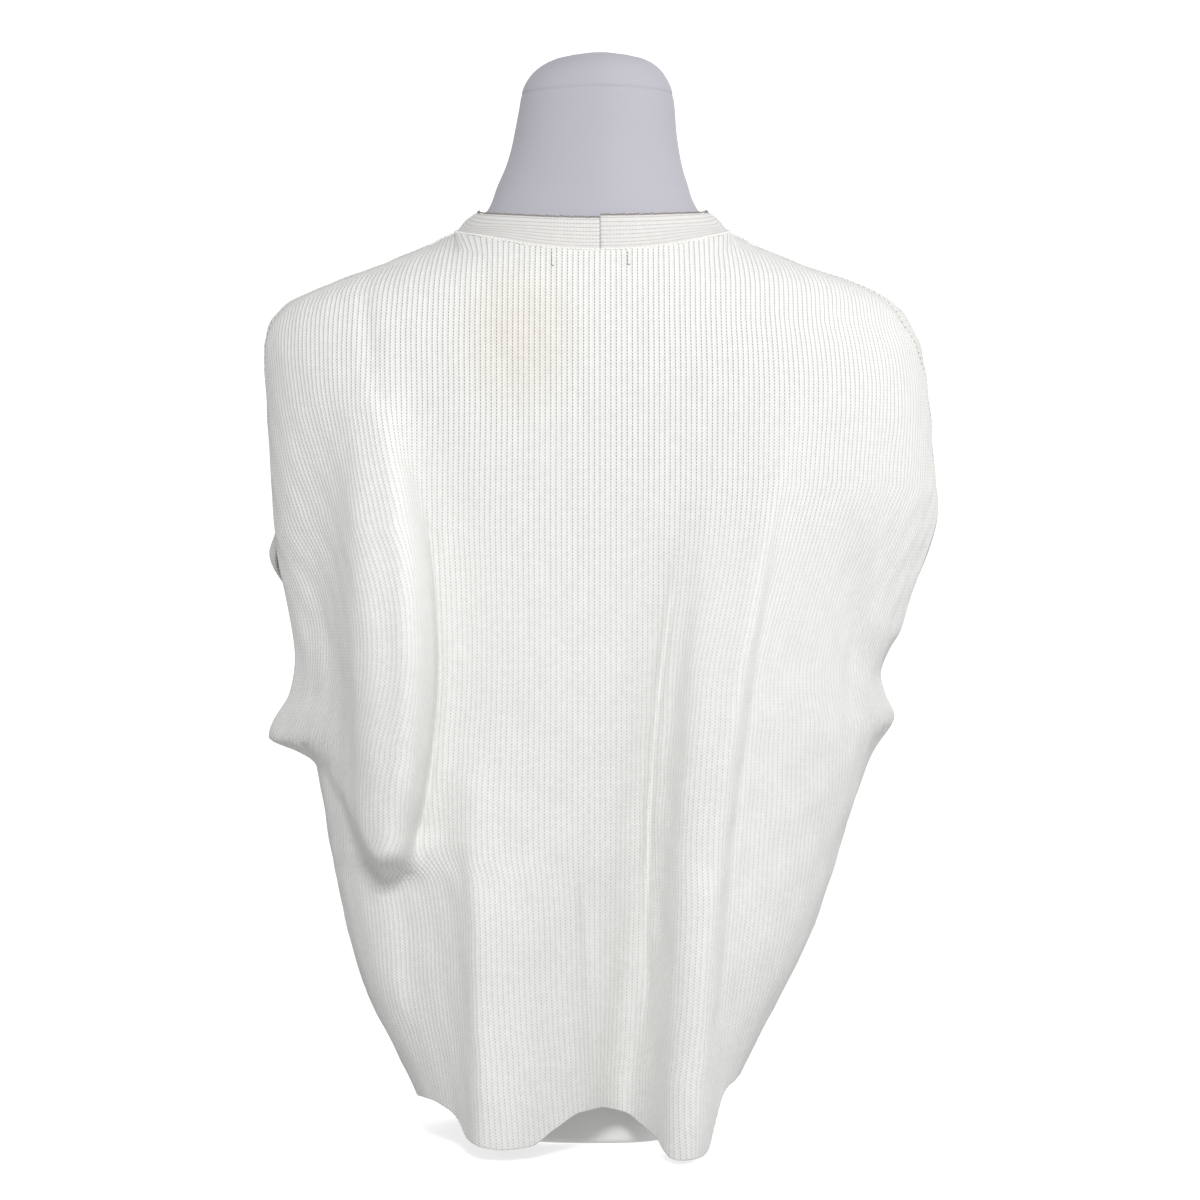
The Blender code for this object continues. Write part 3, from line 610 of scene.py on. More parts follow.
def wired(tree: bpy.types.NodeTree, made: bpy.types.Node, **links: Any) -> bpy.types.Node:
    """Set a node's sockets to values, or link them to other nodes.

    Args:
        tree: the material's node tree.
        made: the node that takes them.
        links: a socket's name with `_` for a space, or `i` and its number, and either a value,
            the output socket that feeds it, or a node whose first output feeds it.

    Returns:
        The same node.
    """
    for name, value in links.items():
        key = int(name[1:]) if name[0] == "i" and name[1:].isdigit() else name.replace("_", " ")
        if isinstance(value, bpy.types.Node):
            value = value.outputs[0]
        if isinstance(value, bpy.types.NodeSocket):
            tree.links.new(value, made.inputs[key])
        else:
            made.inputs[key].default_value = value
    return made


def node(tree: bpy.types.NodeTree, kind: str, settings: dict[str, Any] | None = None,
         **links: Any) -> bpy.types.Node:
    """Add a node with its settings and links.

    Args:
        tree: the material's node tree.
        kind: the node's type.
        settings: values of the node's own properties.
        links: its sockets' values and links, as `wired` takes them.

    Returns:
        The new node.
    """
    made = tree.nodes.new(kind)
    for name, value in (settings or {}).items():
        setattr(made, name, value)
    return wired(tree, made, **links)


def mesh_tree(name: str) -> tuple[bpy.types.Material, bpy.types.NodeTree, bpy.types.Node]:
    """A new node material, its tree and its Principled shader."""
    material = bpy.data.materials.new(name)
    material.use_nodes = True
    return material, material.node_tree, material.node_tree.nodes["Principled BSDF"]


# Kinds of shader node and of their settings, in short words.
MATH, RANGE, NOISE, PLACE = ("ShaderNodeMath", "ShaderNodeMapRange", "ShaderNodeTexNoise",
                             "ShaderNodeTexCoord")
TIMES, OVER, TIMES_PLUS, ZIGZAG = ({"operation": word} for word in (
    "MULTIPLY", "DIVIDE", "MULTIPLY_ADD", "PINGPONG"))
CLAMPED = {"use_clamp": True}
SOFT = {"interpolation_type": "SMOOTHSTEP"}
COLOURS = {"data_type": "RGBA"}
WAVE_BAND = 0.31         # width of a wave texture's band at a scale of 1
FIBRES_A_CELL = 6        # fibres that one cell of noise stands for, so that it still shows
LOOPS_A_CELL = 4


@dataclass(frozen=True)
class KnitFinish:
    """Ribbed or plain rows of knit stitches in a soft matt yarn.

    The wales are real ridges; this adds their stitches, the fibre, and a painted shade in the gaps
    between wales and between stitches.
    """

    name: str
    yarn: str = "F3F3F1"
    # painted shade: the colour painted into the gaps between wales and between stitches
    shade: str = "98948D"
    patch: str = "F1E8D8"
    wale: float = HALF_CUT / RIBS
    course: float = 2.3 * MM
    leg_lean: float = 0.75           # how far the two legs of a stitch lean, in courses
    leg_range: tuple[float, float] = (0.02, 0.40)
    stitch_depth: float = 0.22 * MM
    stitch_bump: float = 0.6
    fibre: float = 0.5 * MM
    fuzz_share: float = 0.35
    gap_range: tuple[float, float] = (0.04, 0.34)
    bridging: float = 0.75           # how much of the gap's shade a stitch across it hides
    # painted shade between two stitches of a wale
    loop_shade: float = 0.15
    cloud_scale: float = 14.0
    cloud_tint: float = 0.97
    patchiness: float = 0.20
    # the painted gap shade falls to this share lower down, over this range of height plus cloud
    lowest_gap_shade: float = 0.40
    gap_shade_fade: tuple[float, float] = (0.44, 0.72)
    thin_stitch: float = 0.95
    patch_at: tuple[float, float, float] = (-0.058, -0.125, 0.575)
    patch_size: tuple[float, float, float] = (0.045, 0.09, 0.060)
    patch_range: tuple[float, float] = (0.2, 1.3)
    patch_strength: float = 0.0

    def stitches(self, tree: bpy.types.NodeTree) -> tuple[bpy.types.Node, ...]:
        """Where a point lies in its stitch, from its place in the flat cut.

        Args:
            tree: the material's node tree.

        Returns:
            The wale, the leaning course, the crest (0 in the gap between two wales, 1 on a wale)
            and the leg (0 between two stitches of a wale, 1 on a stitch).
        """
        cut = node(tree, "ShaderNodeUVMap", {"uv_map": "cut"})
        split = node(tree, "ShaderNodeSeparateXYZ", Vector=cut)
        wales = node(tree, MATH, OVER, i0=split, i1=self.wale)
        crest = node(tree, MATH, ZIGZAG, i0=wales, i1=0.5)
        crest = node(tree, MATH, TIMES, i0=crest, i1=2.0)
        rows = node(tree, MATH, OVER, i0=split.outputs[1], i1=self.course)
        bent = node(tree, MATH, TIMES_PLUS, i0=crest, i1=-self.leg_lean, i2=rows)
        leg = node(tree, MATH, ZIGZAG, i0=bent, i1=0.5)
        low, high = self.leg_range
        leg = node(tree, RANGE, SOFT, Value=leg, From_Min=low, From_Max=high)
        return wales, bent, crest, leg

    def gaps(self, tree: bpy.types.NodeTree, place: bpy.types.Node, cloud: bpy.types.Node,
             crest: bpy.types.Node, leg: bpy.types.Node) -> bpy.types.Node:
        """How much painted shade lies in the gaps between wales and between stitches.

        Args:
            tree: the material's node tree.
            place: the piece's own coordinates.
            cloud: slow unevenness of the cloth.
            crest: 0 in the gap between two wales, 1 on a wale.
            leg: 0 between two stitches of a wale, 1 on a stitch.

        Returns:
            The share of the painted shade.
        """
        shut, full = self.gap_range
        gap = node(tree, RANGE, SOFT, Value=crest, From_Min=shut, From_Max=full, To_Min=1.0, To_Max=0.0)
        bridged = node(tree, MATH, TIMES_PLUS, i0=leg, i1=-self.bridging, i2=1.0)
        dotted = node(tree, MATH, TIMES, i0=gap, i1=bridged)
        # the painted shade is weaker lower down, and in slow patches
        level = node(tree, "ShaderNodeSeparateXYZ", Vector=place.outputs["Object"])
        patchy = node(tree, MATH, TIMES_PLUS, i0=cloud, i1=self.patchiness, i2=level.outputs["Z"])
        fade_low, fade_high = self.gap_shade_fade
        gap_shade_strength = node(tree, RANGE, SOFT, Value=patchy, From_Min=fade_low, From_Max=fade_high,
                      To_Min=self.lowest_gap_shade, To_Max=1.0)
        dotted = node(tree, MATH, TIMES, i0=dotted, i1=gap_shade_strength)
        painted_loop_shade = node(tree, MATH, TIMES_PLUS | CLAMPED, i0=leg, i1=-self.loop_shade, i2=self.loop_shade)
        return node(tree, MATH, {"operation": "ADD"} | CLAMPED, i0=dotted, i1=painted_loop_shade)

    def fullness(self, tree: bpy.types.NodeTree, wales: bpy.types.Node,
                 bent: bpy.types.Node) -> bpy.types.Node:
        """Brightness of each stitch: no two are quite as full as each other.

        Args:
            tree: the material's node tree.
            wales: the wale of each point.
            bent: its leaning course.

        Returns:
            The brightness.
        """
        column_at = node(tree, MATH, {"operation": "ROUND"}, i0=wales)
        row_at = node(tree, MATH, {"operation": "FLOOR"}, i0=bent)
        stitch = node(tree, "ShaderNodeCombineXYZ", X=column_at, Y=row_at)
        chance = node(tree, "ShaderNodeTexWhiteNoise", Vector=stitch)
        return node(tree, RANGE, Value=chance, To_Min=self.thin_stitch, To_Max=1.0)

    def material(self) -> bpy.types.Material:
        """Knitted cotton and wool: matt, with a faint halo of fibre, and painted shade darkening the gaps
        between wales.

        Returns:
            The material.
        """
        material, tree, shader = mesh_tree(self.name)
        wales, bent, crest, leg = self.stitches(tree)
        place = node(tree, PLACE)
        fuzz = node(tree, NOISE, Vector=place.outputs["Object"], Scale=1.0 / self.fibre / FIBRES_A_CELL,
                    Detail=3.0, Roughness=0.7)
        cloud = node(tree, NOISE, Vector=place.outputs["Object"], Scale=self.cloud_scale, Detail=2.0)
        height = node(tree, MATH, TIMES_PLUS, i0=fuzz, i1=self.fuzz_share, i2=leg)
        # share of the painted shade, in the gaps between wales and between stitches
        dark = self.gaps(tree, place, cloud, crest, leg)
        full = self.fullness(tree, wales, bent)
        yarn = node(tree, "ShaderNodeMix", COLOURS, i0=dark, i6=linear(self.yarn), i7=linear(self.shade))
        tint = node(tree, RANGE, Value=cloud, From_Min=0.3, From_Max=0.7, To_Min=self.cloud_tint,
                    To_Max=1.0)
        tint = node(tree, MATH, TIMES, i0=tint, i1=full)
        shown = node(tree, "ShaderNodeHueSaturation", Color=yarn.outputs[2], Value=tint)
        colour = self.warmed(tree, place, shown)
        bump = node(tree, "ShaderNodeBump", Height=height, Distance=self.stitch_depth,
                    Strength=self.stitch_bump)
        wired(tree, shader, Base_Color=colour, Normal=bump, Roughness=0.92, Specular_IOR_Level=0.25,
              Sheen_Weight=0.18, Sheen_Roughness=0.5)
        return material

    def warmed(self, tree: bpy.types.NodeTree, place: bpy.types.Node,
               colour: bpy.types.Node) -> bpy.types.Node | bpy.types.NodeSocket:
        """The yarn's colour with a faint cream patch, where the cloth has yellowed a little.

        Args:
            tree: the material's node tree.
            place: the piece's own coordinates.
            colour: the colour without it.

        Returns:
            The colour with the patch, or the same one where the finish has none.
        """
        if self.patch_strength <= 0.0:
            return colour
        at = node(tree, "ShaderNodeVectorMath", {"operation": "SUBTRACT"},
                  i0=place.outputs["Object"], i1=self.patch_at)
        scaled = node(tree, "ShaderNodeVectorMath", OVER, i0=at, i1=self.patch_size)
        far = node(tree, "ShaderNodeVectorMath", {"operation": "LENGTH"}, i0=scaled)
        middle, rim = self.patch_range
        near = node(tree, RANGE, SOFT, Value=far.outputs["Value"], From_Min=middle, From_Max=rim,
                    To_Min=self.patch_strength, To_Max=0.0)
        mixed = node(tree, "ShaderNodeMix", COLOURS | {"blend_type": "MULTIPLY"}, i0=near, i6=colour,
                     i7=linear(self.patch))
        return mixed.outputs[2]


@dataclass(frozen=True)
class ThreadFinish:
    """Twisted sewing or linking thread."""

    name: str
    colour: str
    twist: float = 0.8 * MM
    ply_depth: float = 0.1 * MM

    def material(self) -> bpy.types.Material:
        """Mercerised cotton thread: a little shine and a fine slanting twist.

        Returns:
            The material.
        """
        material, tree, shader = mesh_tree(self.name)
        place = node(tree, PLACE)
        ply = node(tree, "ShaderNodeTexWave", {"bands_direction": "DIAGONAL"},
                   Vector=place.outputs["Object"], Scale=WAVE_BAND / self.twist, Distortion=1.0)
        bump = node(tree, "ShaderNodeBump", Height=ply.outputs["Fac"], Distance=self.ply_depth,
                    Strength=0.6)
        wired(tree, shader, Base_Color=linear(self.colour), Normal=bump, Roughness=0.7,
              Sheen_Weight=0.15)
        return material


@dataclass(frozen=True)
class JerseyFinish:
    """Fine stretched jersey over the dress form."""

    name: str
    colour: str = "B2B1BA"
    gauge: float = 0.9 * MM
    loop_depth: float = 0.12 * MM

    def material(self) -> bpy.types.Material:
        """Fine cotton jersey, pulled smooth: matt, with a barely seen grain.

        Returns:
            The material.
        """
        material, tree, shader = mesh_tree(self.name)
        place = node(tree, PLACE)
        grain = node(tree, NOISE, Vector=place.outputs["Object"], Scale=1.0 / self.gauge / LOOPS_A_CELL,
                     Detail=2.0)
        cloud = node(tree, NOISE, Vector=place.outputs["Object"], Scale=9.0)
        tint = node(tree, RANGE, Value=cloud, From_Min=0.3, From_Max=0.7, To_Min=0.97, To_Max=1.02)
        shown = node(tree, "ShaderNodeHueSaturation", Color=linear(self.colour), Value=tint)
        bump = node(tree, "ShaderNodeBump", Height=grain, Distance=self.loop_depth, Strength=0.5)
        wired(tree, shader, Base_Color=shown, Normal=bump, Roughness=0.85, Sheen_Weight=0.12)
        return material


@dataclass(frozen=True)
class LacquerFinish:
    """White lacquer on the foot of the form."""

    name: str
    colour: str = "F6F6F4"

    def material(self) -> bpy.types.Material:
        """Sprayed lacquer: smooth, white and a little glossy."""
        material, tree, shader = mesh_tree(self.name)
        wired(tree, shader, Base_Color=linear(self.colour), Roughness=0.35)
        return material


@dataclass(frozen=True)
class PaperFinish:
    """White background paper for the studio."""

    name: str
    colour: str = "FFFFFF"
    glow: float = 0.62       # the paper is lit from behind, so that it stays white

    def material(self) -> bpy.types.Material:
        """Matt seamless paper: even and bright.

        Returns:
            The material.
        """
        material, tree, shader = mesh_tree(self.name)
        place = node(tree, PLACE)
        pulp = node(tree, NOISE, Vector=place.outputs["Object"], Scale=3.0)
        tint = node(tree, RANGE, Value=pulp, To_Min=0.995, To_Max=1.0)
        shown = node(tree, "ShaderNodeHueSaturation", Color=linear(self.colour), Value=tint)
        wired(tree, shader, Base_Color=shown, Roughness=0.95, Emission_Color=(1.0, 1.0, 1.0, 1.0),
              Emission_Strength=self.glow)
        return material


# ---------------------------------------------------------------- meshes
def mesh_data(name: str, mesh: bmesh.types.BMesh) -> bpy.types.Mesh:
    """Turn a bmesh into a named mesh, and free it.

    Args:
        name: the mesh's name.
        mesh: the bmesh.

    Returns:
        The mesh.
    """
    data = bpy.data.meshes.new(name)
    mesh.to_mesh(data)
    mesh.free()
    return data


def dressed(data: bpy.types.Mesh, *materials: bpy.types.Material) -> bpy.types.Object:
    """Shade a mesh smooth, give it its materials and link it as an object of the same name.

    Args:
        data: the mesh, with its place in it.
        materials: its materials, in order.

    Returns:
        The object.
    """
    data.shade_smooth()
    for material in materials:
        data.materials.append(material)
    obj = bpy.data.objects.new(data.name, data)
    bpy.context.scene.collection.objects.link(obj)
    return obj


def wall_object(name: str, outer: np.ndarray, inner: np.ndarray, cut: np.ndarray,
                material: bpy.types.Material, stands_for: str) -> bpy.types.Object:
    """A cloth wall: a flat grid, doubled by extrusion, with its vertices moved.

    Args:
        name: the object's name.
        outer: outer points, by column and row.
        inner: inner points, likewise.
        cut: each point's place in the flat cut, in metres.
        material: the cloth's finish.
        stands_for: the CAD node that the piece replaces.

    Returns:
        The finished object.
    """
    columns, rows = outer.shape[:2]
    mesh = bmesh.new()
    bmesh.ops.create_grid(mesh, x_segments=columns - 1, y_segments=rows - 1, size=1.0)
    for vertex in mesh.verts:
        vertex.co.z = 0.0
    made = bmesh.ops.extrude_face_region(mesh, geom=list(mesh.faces), use_keep_orig=True)
    for item in made["geom"]:
        if isinstance(item, bmesh.types.BMVert):
            item.co.z = 1.0
    bmesh.ops.recalc_face_normals(mesh, faces=mesh.faces)
    data = mesh_data(name, mesh)
    grid = np.empty(len(data.vertices) * 3, np.float32)
    data.vertices.foreach_get("co", grid)
    grid = grid.reshape(-1, 3)
    i = np.rint((grid[:, 0] + 1) / 2 * (columns - 1)).astype(int)
    j = np.rint((grid[:, 1] + 1) / 2 * (rows - 1)).astype(int)
    placed = np.where(grid[:, 2:3] > 0.5, outer[i, j], inner[i, j])
    placed[:, :2] += CENTRE_SHIFT
    data.vertices.foreach_set("co", placed.astype(np.float32).ravel())
    corner = np.empty(len(data.loops), np.int32)
    data.loops.foreach_get("vertex_index", corner)
    layer = data.uv_layers.new(name="cut")
    layer.uv.foreach_set("vector", cut[i, j][corner].astype(np.float32).ravel())
    data.update()
    obj = dressed(data, material)
    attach(obj, "root")
    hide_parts(stands_for)
    return obj


# ---------------------------------------------------------------- the knitted pieces
@dataclass
class RibPanel:
    """A back or front panel in 1x1 rib, its columns on the straight grain of the cut."""

    skin: Skin
    face: Face
    finish: KnitFinish
    ribs: int = RIBS
    samples_per_rib: int = 4
    rows: int = 64
    rib_height: float = 0.5 * MM
    rib_power: float = 0.35          # below 1, ribs are broad with narrow gaps
    edge_rib: float = 0.25           # share of a rib's height that is left at an edge
    edge_row: float = 0.8 * MM
    crowded_rows: tuple[tuple[float, float, float], ...] = ((0.17, 0.29, 1.6), (0.59, 0.66, 0.7))
    crowding_fade: float = 20.0 * MM
    seam_fade: float = 3.0 * MM
    waver: float = 0.35 * MM
    waves: tuple[tuple[float, float, float], ...] = (
        (210.0, 37.0, 0.0), (-61.0, 96.0, 1.3), (95.0, -150.0, 0.4))
    third_wave: float = 0.6

    def bottom_of(self, hand: Hand, flat: np.ndarray) -> np.ndarray:
        """Height of each column's foot, on the hem or on the side seam.

        Args:
            hand: the side.
            flat: distances from the centre line in the cut.

        Returns:
            The heights.
        """
        rows = SIDES[hand]
        hem = column(HEMS[self.face], "z", int(hand) * flat, key="flat")
        rising = np.linspace(rows[0].z, ARMHOLES[hand].underarm_z, 800)
        width = np.maximum.accumulate(column(rows, "flat", rising))
        side = np.interp(flat, width, rising)
        corner = float(np.interp(hem_end(self.face, hand), rising, width))
        return np.where(flat > corner, np.maximum(side, hem), hem)

    def top_of(self, hand: Hand, flat: np.ndarray) -> np.ndarray:
        """Height of each column's head, on the neck or on the shoulder and armhole edge.

        Args:
            hand: the side.
            flat: distances from the centre line in the cut.

        Returns:
            The heights.
        """
        neck_z = NECK_SIDE_Z[hand]
        neck_flat = float(column(SIDES[hand], "flat", neck_z))
        falling = np.linspace(neck_z, ARMHOLES[hand].top_z, 800)
        width = np.maximum.accumulate(column(SIDES[hand], "flat", falling))
        side = np.interp(flat, width, falling)
        neck = np.array([neck_line(hand, self.face, 0.0, min(f / neck_flat, 1.0))[0] for f in flat])
        return np.where(flat > neck_flat, side, neck)

    def row_heights(self, low: np.ndarray, high: np.ndarray) -> np.ndarray:
        """Heights of the grid's rows in each column, closer together where the cloth turns fast.

        Args:
            low: each column's foot.
            high: each column's head.

        Returns:
            The heights, by column and row.
        """
        z = np.linspace(0.0, 0.70, 701)
        crowding = np.ones_like(z)
        for start, end, more in self.crowded_rows:
            inside = smooth((z - start) / self.crowding_fade) * smooth((end - z) / self.crowding_fade)
            crowding += more * inside
        count = np.concatenate([[0.0], np.cumsum(0.5 * (crowding[1:] + crowding[:-1]))])
        first, last = np.interp(low, z, count), np.interp(high, z, count)
        up = np.linspace(0.0, 1.0, self.rows)
        heights = np.interp(first[:, None] + (last - first)[:, None] * up[None, :], count, z)
        # a row just inside each edge keeps the edge's own shading narrow
        heights[:, 0], heights[:, 1] = low, low + self.edge_row
        heights[:, -1], heights[:, -2] = high, high - self.edge_row
        return heights

    def half(self, hand: Hand) -> tuple[np.ndarray, np.ndarray, np.ndarray]:
        """Outer points, inner points and flat places of one half, from the centre line out.

        Args:
            hand: the side.

        Returns:
            The three grids, by column and row.
        """
        count = self.ribs * self.samples_per_rib
        flat = np.linspace(0.0, HALF_CUT - SEAM_GAP / 2, count + 1)
        low, high = self.bottom_of(hand, flat), self.top_of(hand, flat)
        z = self.row_heights(low, high)
        across = np.repeat(flat[:, None], self.rows, axis=1)
        full = column(SIDES[hand], "flat", z)
        share = self.skin.share_of(hand, self.face, np.minimum(across, full), z)
        point, normal = self.skin.look_up(hand, z, share)
        # a rib crest half-way between two gaps; the centre line is a crest
        phase = across / (HALF_CUT / self.ribs)
        ridge = (0.5 + 0.5 * np.cos(2 * math.pi * phase)) ** self.rib_power
        edge = np.minimum(full - across, (high[:, None] - z))
        ridge = ridge * (self.edge_rib + (1 - self.edge_rib) * smooth(edge / self.seam_fade))
        # the cloth is never quite smooth: two slow waves multiplied, and a weaker one
        first, second, third = (np.sin(a * across + b * z + c) for a, b, c in self.waves)
        sway = self.waver * (first * second + self.third_wave * third)
        outer = point + normal * ((ridge - 0.5) * self.rib_height + sway)[..., None]
        inner = point - normal * (WALL - sway)[..., None]
        return outer, inner, np.stack([int(hand) * across, z], axis=-1)

    def build(self) -> bpy.types.Object:
        """The whole panel, dressed.

        Returns:
            The panel's object.
        """
        left, right = self.half(Hand.LEFT), self.half(Hand.RIGHT)
        outer, inner, cut = (np.concatenate([l[:0:-1], r]) for l, r in zip(left, right))
        # the flat cut: every column keeps its width, and its length is its height up the body
        name = self.face.value + "_panel"
        obj = wall_object(name + "_rib_knit", outer, inner, cut, self.finish.material(),
                          name)
        return obj


@dataclass
class NeckBand:
    """One half of the neckband: knitted lengthwise, with a rounded free edge."""

    skin: Skin
    hand: Hand
    finish: KnitFinish
    rows_of_stitches: float = 8.5
    samples_per_row: int = 4
    length_steps: int = 180
    front_power: float = 1.5         # above 1, the steps lie closer at the shoulder
    row_relief: float = 0.45 * MM
    edge_round: float = 1.5 * MM
    outer_rounding: float = 0.6      # the free edge's rounding that falls on the outer side

    def stations(self) -> list[tuple[Face, float]]:
        """Places along the band: centre back, shoulder seam, V point."""
        back = [(Face.BACK, p) for p in np.linspace(0.0, 1.0, self.length_steps // 3)[:-1]]
        turns = np.linspace(1.0, 0.0, 2 * self.length_steps // 3)
        return back + [(Face.FRONT, 1.0 - (1.0 - p) ** self.front_power) for p in turns]

    def middle(self) -> Path:
        """Points and outward directions of the band on the skin, by station and by level.

        Returns:
            The points and the outward directions.
        """
        places = self.stations()
        lift = np.linspace(0.0, 1.0, int(self.rows_of_stitches * self.samples_per_row) + 1)
        z = np.empty((len(places), len(lift)))
        share = np.empty_like(z)
        for i, (face, part) in enumerate(places):
            line = np.array([neck_line(self.hand, face, up, part) for up in lift])
            z[i] = line[:, 0] + (SEAM_GAP if face is Face.BACK else V_SEAM_LIFT)
            flat = np.maximum(line[:, 1], SEAM_GAP / 2)
            full = column(SIDES[self.hand], "flat", z[i])
            share[i] = self.skin.share_of(self.hand, face, np.minimum(flat, full), z[i])
            if part == 1.0:
                share[i] = self.skin.seam_share(self.hand, z[i])
        return self.skin.look_up(self.hand, z, share)

    def build(self) -> bpy.types.Object:
        """The band half, dressed.

        Returns:
            The band's object.
        """
        point, normal = self.middle()
        rise = np.linalg.norm(np.diff(point, axis=1), axis=2)
        up_run = np.concatenate([np.zeros((len(point), 1)), np.cumsum(rise, axis=1)], axis=1)
        width = up_run[:, -1:]
        along = np.linalg.norm(np.diff(point[:, point.shape[1] // 2], axis=0), axis=1)
        run = np.concatenate([[0.0], np.cumsum(along)])
        rows = up_run / width * self.rows_of_stitches
        ridge = -0.5 * np.cos(2 * math.pi * rows) * self.row_relief
        from_edge = np.clip((width - up_run) / self.edge_round, 0.0, 1.0)
        rounding = self.edge_round * (1 - np.sqrt(1 - (1 - from_edge) ** 2))
        outer = point + normal * (ridge - rounding * self.outer_rounding)[..., None]
        inner = point - normal * (BAND_WALL - rounding * (1 - self.outer_rounding))[..., None]
        cut = np.stack([rows * self.finish.wale, run[:, None] + 0 * up_run], axis=-1)
        if self.hand is Hand.LEFT:
            outer, inner, cut = outer[::-1], inner[::-1], cut[::-1]
        name = f"neckband_{self.hand.name.lower()}"
        obj = wall_object(name + "_knit", outer, inner, cut, self.finish.material(),
                          name)
        return obj


@dataclass
class Stitches:
    """Sewing and linking thread: the chain under the band, the seams and two lines of old stitches; dark
    beads paint shade along the band's free edge and in the shoulder seam's gaps.
    """

    skin: Skin
    chain_finish: ThreadFinish
    # grey thread of the old stitches, also the painted shade in the shoulder seam's gaps
    mark_and_gap_shade_finish: ThreadFinish
    # beads that paint the shadow along the band's free edge
    edge_shadow_finish: ThreadFinish
    path_samples: int = 220
    bead_segments: int = 6
    chain_pitch: float = 3.5 * MM
    chain_overlap: float = 1.12          # length of a stitch, in pitches
    chain_thick: float = 1.8 * MM
    chain_lift: float = 0.1 * MM
    edge_pitch: float = 2.6 * MM
    edge_long: float = 3.0 * MM
    edge_thick: float = 1.2 * MM
    edge_rise: float = 0.9 * MM
    edge_uneven: float = 0.45 * MM
    edge_beats: tuple[float, float] = (2.4, 0.9)
    edge_sunk: float = BAND_WALL / 4
    seam_samples: int = 160
    seam_pitch: float = 4.2 * MM
    seam_long: float = 3.4 * MM
    seam_thick: float = 0.9 * MM
    seam_lift: float = 0.3 * MM
    seam_end: float = 4.0 * MM           # the thread stops this far from a seam's ends
    shoulder_top: float = 2.0 * MM
    shoulder_set_back: float = 10.0 * MM
    share_step: float = 0.01
    gap_long: float = 2.6 * MM
    gap_thick: float = 0.72 * MM
    mark_long: float = 3.0 * MM
    mark_thick: float = 0.7 * MM
    mark_lift: float = 0.75 * MM
    mark_along: tuple[float, float, float] = (0.15, 0.0, -1.0)
    tail_at: tuple[float, float, float] = (0.9 * MM, 0.0, -1.0 * MM)
    tail_along: tuple[float, float, float] = (1.0, 0.0, 0.3)
    tail_long: float = 2.4 * MM
    mark_lines: tuple[MarkLine, ...] = (
        MarkLine(Hand.LEFT, 0.0340, 0.6320, 0.6235, 4), MarkLine(Hand.RIGHT, 0.0195, 0.6320, 0.6240, 4))

    def bead(self, mesh: bmesh.types.BMesh, at: np.ndarray, along: np.ndarray, normal: np.ndarray,
             length: float, thick: float) -> None:
        """Add one rounded stitch to a mesh.

        Args:
            mesh: the mesh that takes it.
            at: its middle.
            along: the way it runs.
            normal: the way it stands out from the cloth.
            length: its length.
            thick: its thickness.
        """
        along = unit(along - normal * float(along @ normal))
        turned = np.eye(4)
        turned[:3, 0] = along * length / 2
        turned[:3, 1] = np.cross(normal, along) * thick / 2
        turned[:3, 2] = normal * thick / 2
        turned[:3, 3] = at + np.array([*CENTRE_SHIFT, 0.0])
        bmesh.ops.create_uvsphere(mesh, u_segments=self.bead_segments, v_segments=self.bead_segments,
                                  radius=1.0, matrix=Matrix(turned.tolist()))

    @staticmethod
    def finish(mesh: bmesh.types.BMesh, name: str, thread: ThreadFinish) -> None:
        """Make the mesh an object of thread that rides on the body.

        Args:
            mesh: the stitches.
            name: the object's name.
            thread: their finish.
        """
        bmesh.ops.recalc_face_normals(mesh, faces=mesh.faces)
        obj = dressed(mesh_data(name, mesh), thread.material())
        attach(obj, "root")
        LOG.info("%s: %d faces", name, len(obj.data.polygons))

    def neck_path(self, hand: Hand, face: Face, lift: float, rise: float) -> Path:
        """Fine points and outward directions along one side of the neckband.

        Args:
            hand: the side.
            face: back or front.
            lift: 0 at the neck seam, 1 at the band's free edge.
            rise: height above that line.

        Returns:
            The points and the outward directions.
        """
        parts = np.linspace(0.0, 1.0, self.path_samples)
        line = np.array([neck_line(hand, face, lift, p) for p in parts])
        line[:, 0] += rise
        full = column(SIDES[hand], "flat", line[:, 0])
        share = self.skin.share_of(hand, face, np.minimum(line[:, 1], full), line[:, 0])
        return self.skin.look_up(hand, line[:, 0], share)

    def seam_path(self, hand: Hand, low: float, high: float, set_back: float) -> Path:
        """Fine points and outward directions along a stretch of the side or shoulder seam.

        Args:
            hand: the side.
            low: height of its lower end.
            high: height of its upper end.
            set_back: how far it lies on the back of the seam.

        Returns:
            The points and the outward directions.
        """
        z = np.linspace(low, high, self.seam_samples)
        share = self.skin.seam_share(hand, z)
        points, _ = self.skin.look_up(hand, z, share)
        beside, _ = self.skin.look_up(hand, z, share - self.share_step)
        step = np.maximum(np.linalg.norm(beside - points, axis=1), 0.5 * MM)
        return self.skin.look_up(hand, z, share - self.share_step * set_back / step)

    @staticmethod
    def even_places(path: Path, pitch: float) -> list[tuple[np.ndarray, np.ndarray, np.ndarray]]:
        """Evenly spaced places on a path: point, direction along it and outward direction.

        Args:
            path: the points and outward directions.
            pitch: about how far apart they are.

        Returns:
            The places.
        """
        points, normals = path
        run = np.concatenate([[0.0], np.cumsum(np.linalg.norm(np.diff(points, axis=0), axis=1))])
        count = max(2, int(run[-1] / pitch))
        at = (np.arange(count) + 0.5) * run[-1] / count
        middle, ahead, behind = (
            np.stack([np.interp(at + step, run, points[:, k]) for k in range(3)], axis=1)
            for step in (0.0, 0.2 * MM, -0.2 * MM))
        out = unit(np.stack([np.interp(at, run, normals[:, k]) for k in range(3)], axis=1))
        return list(zip(middle, unit(ahead - behind), out))

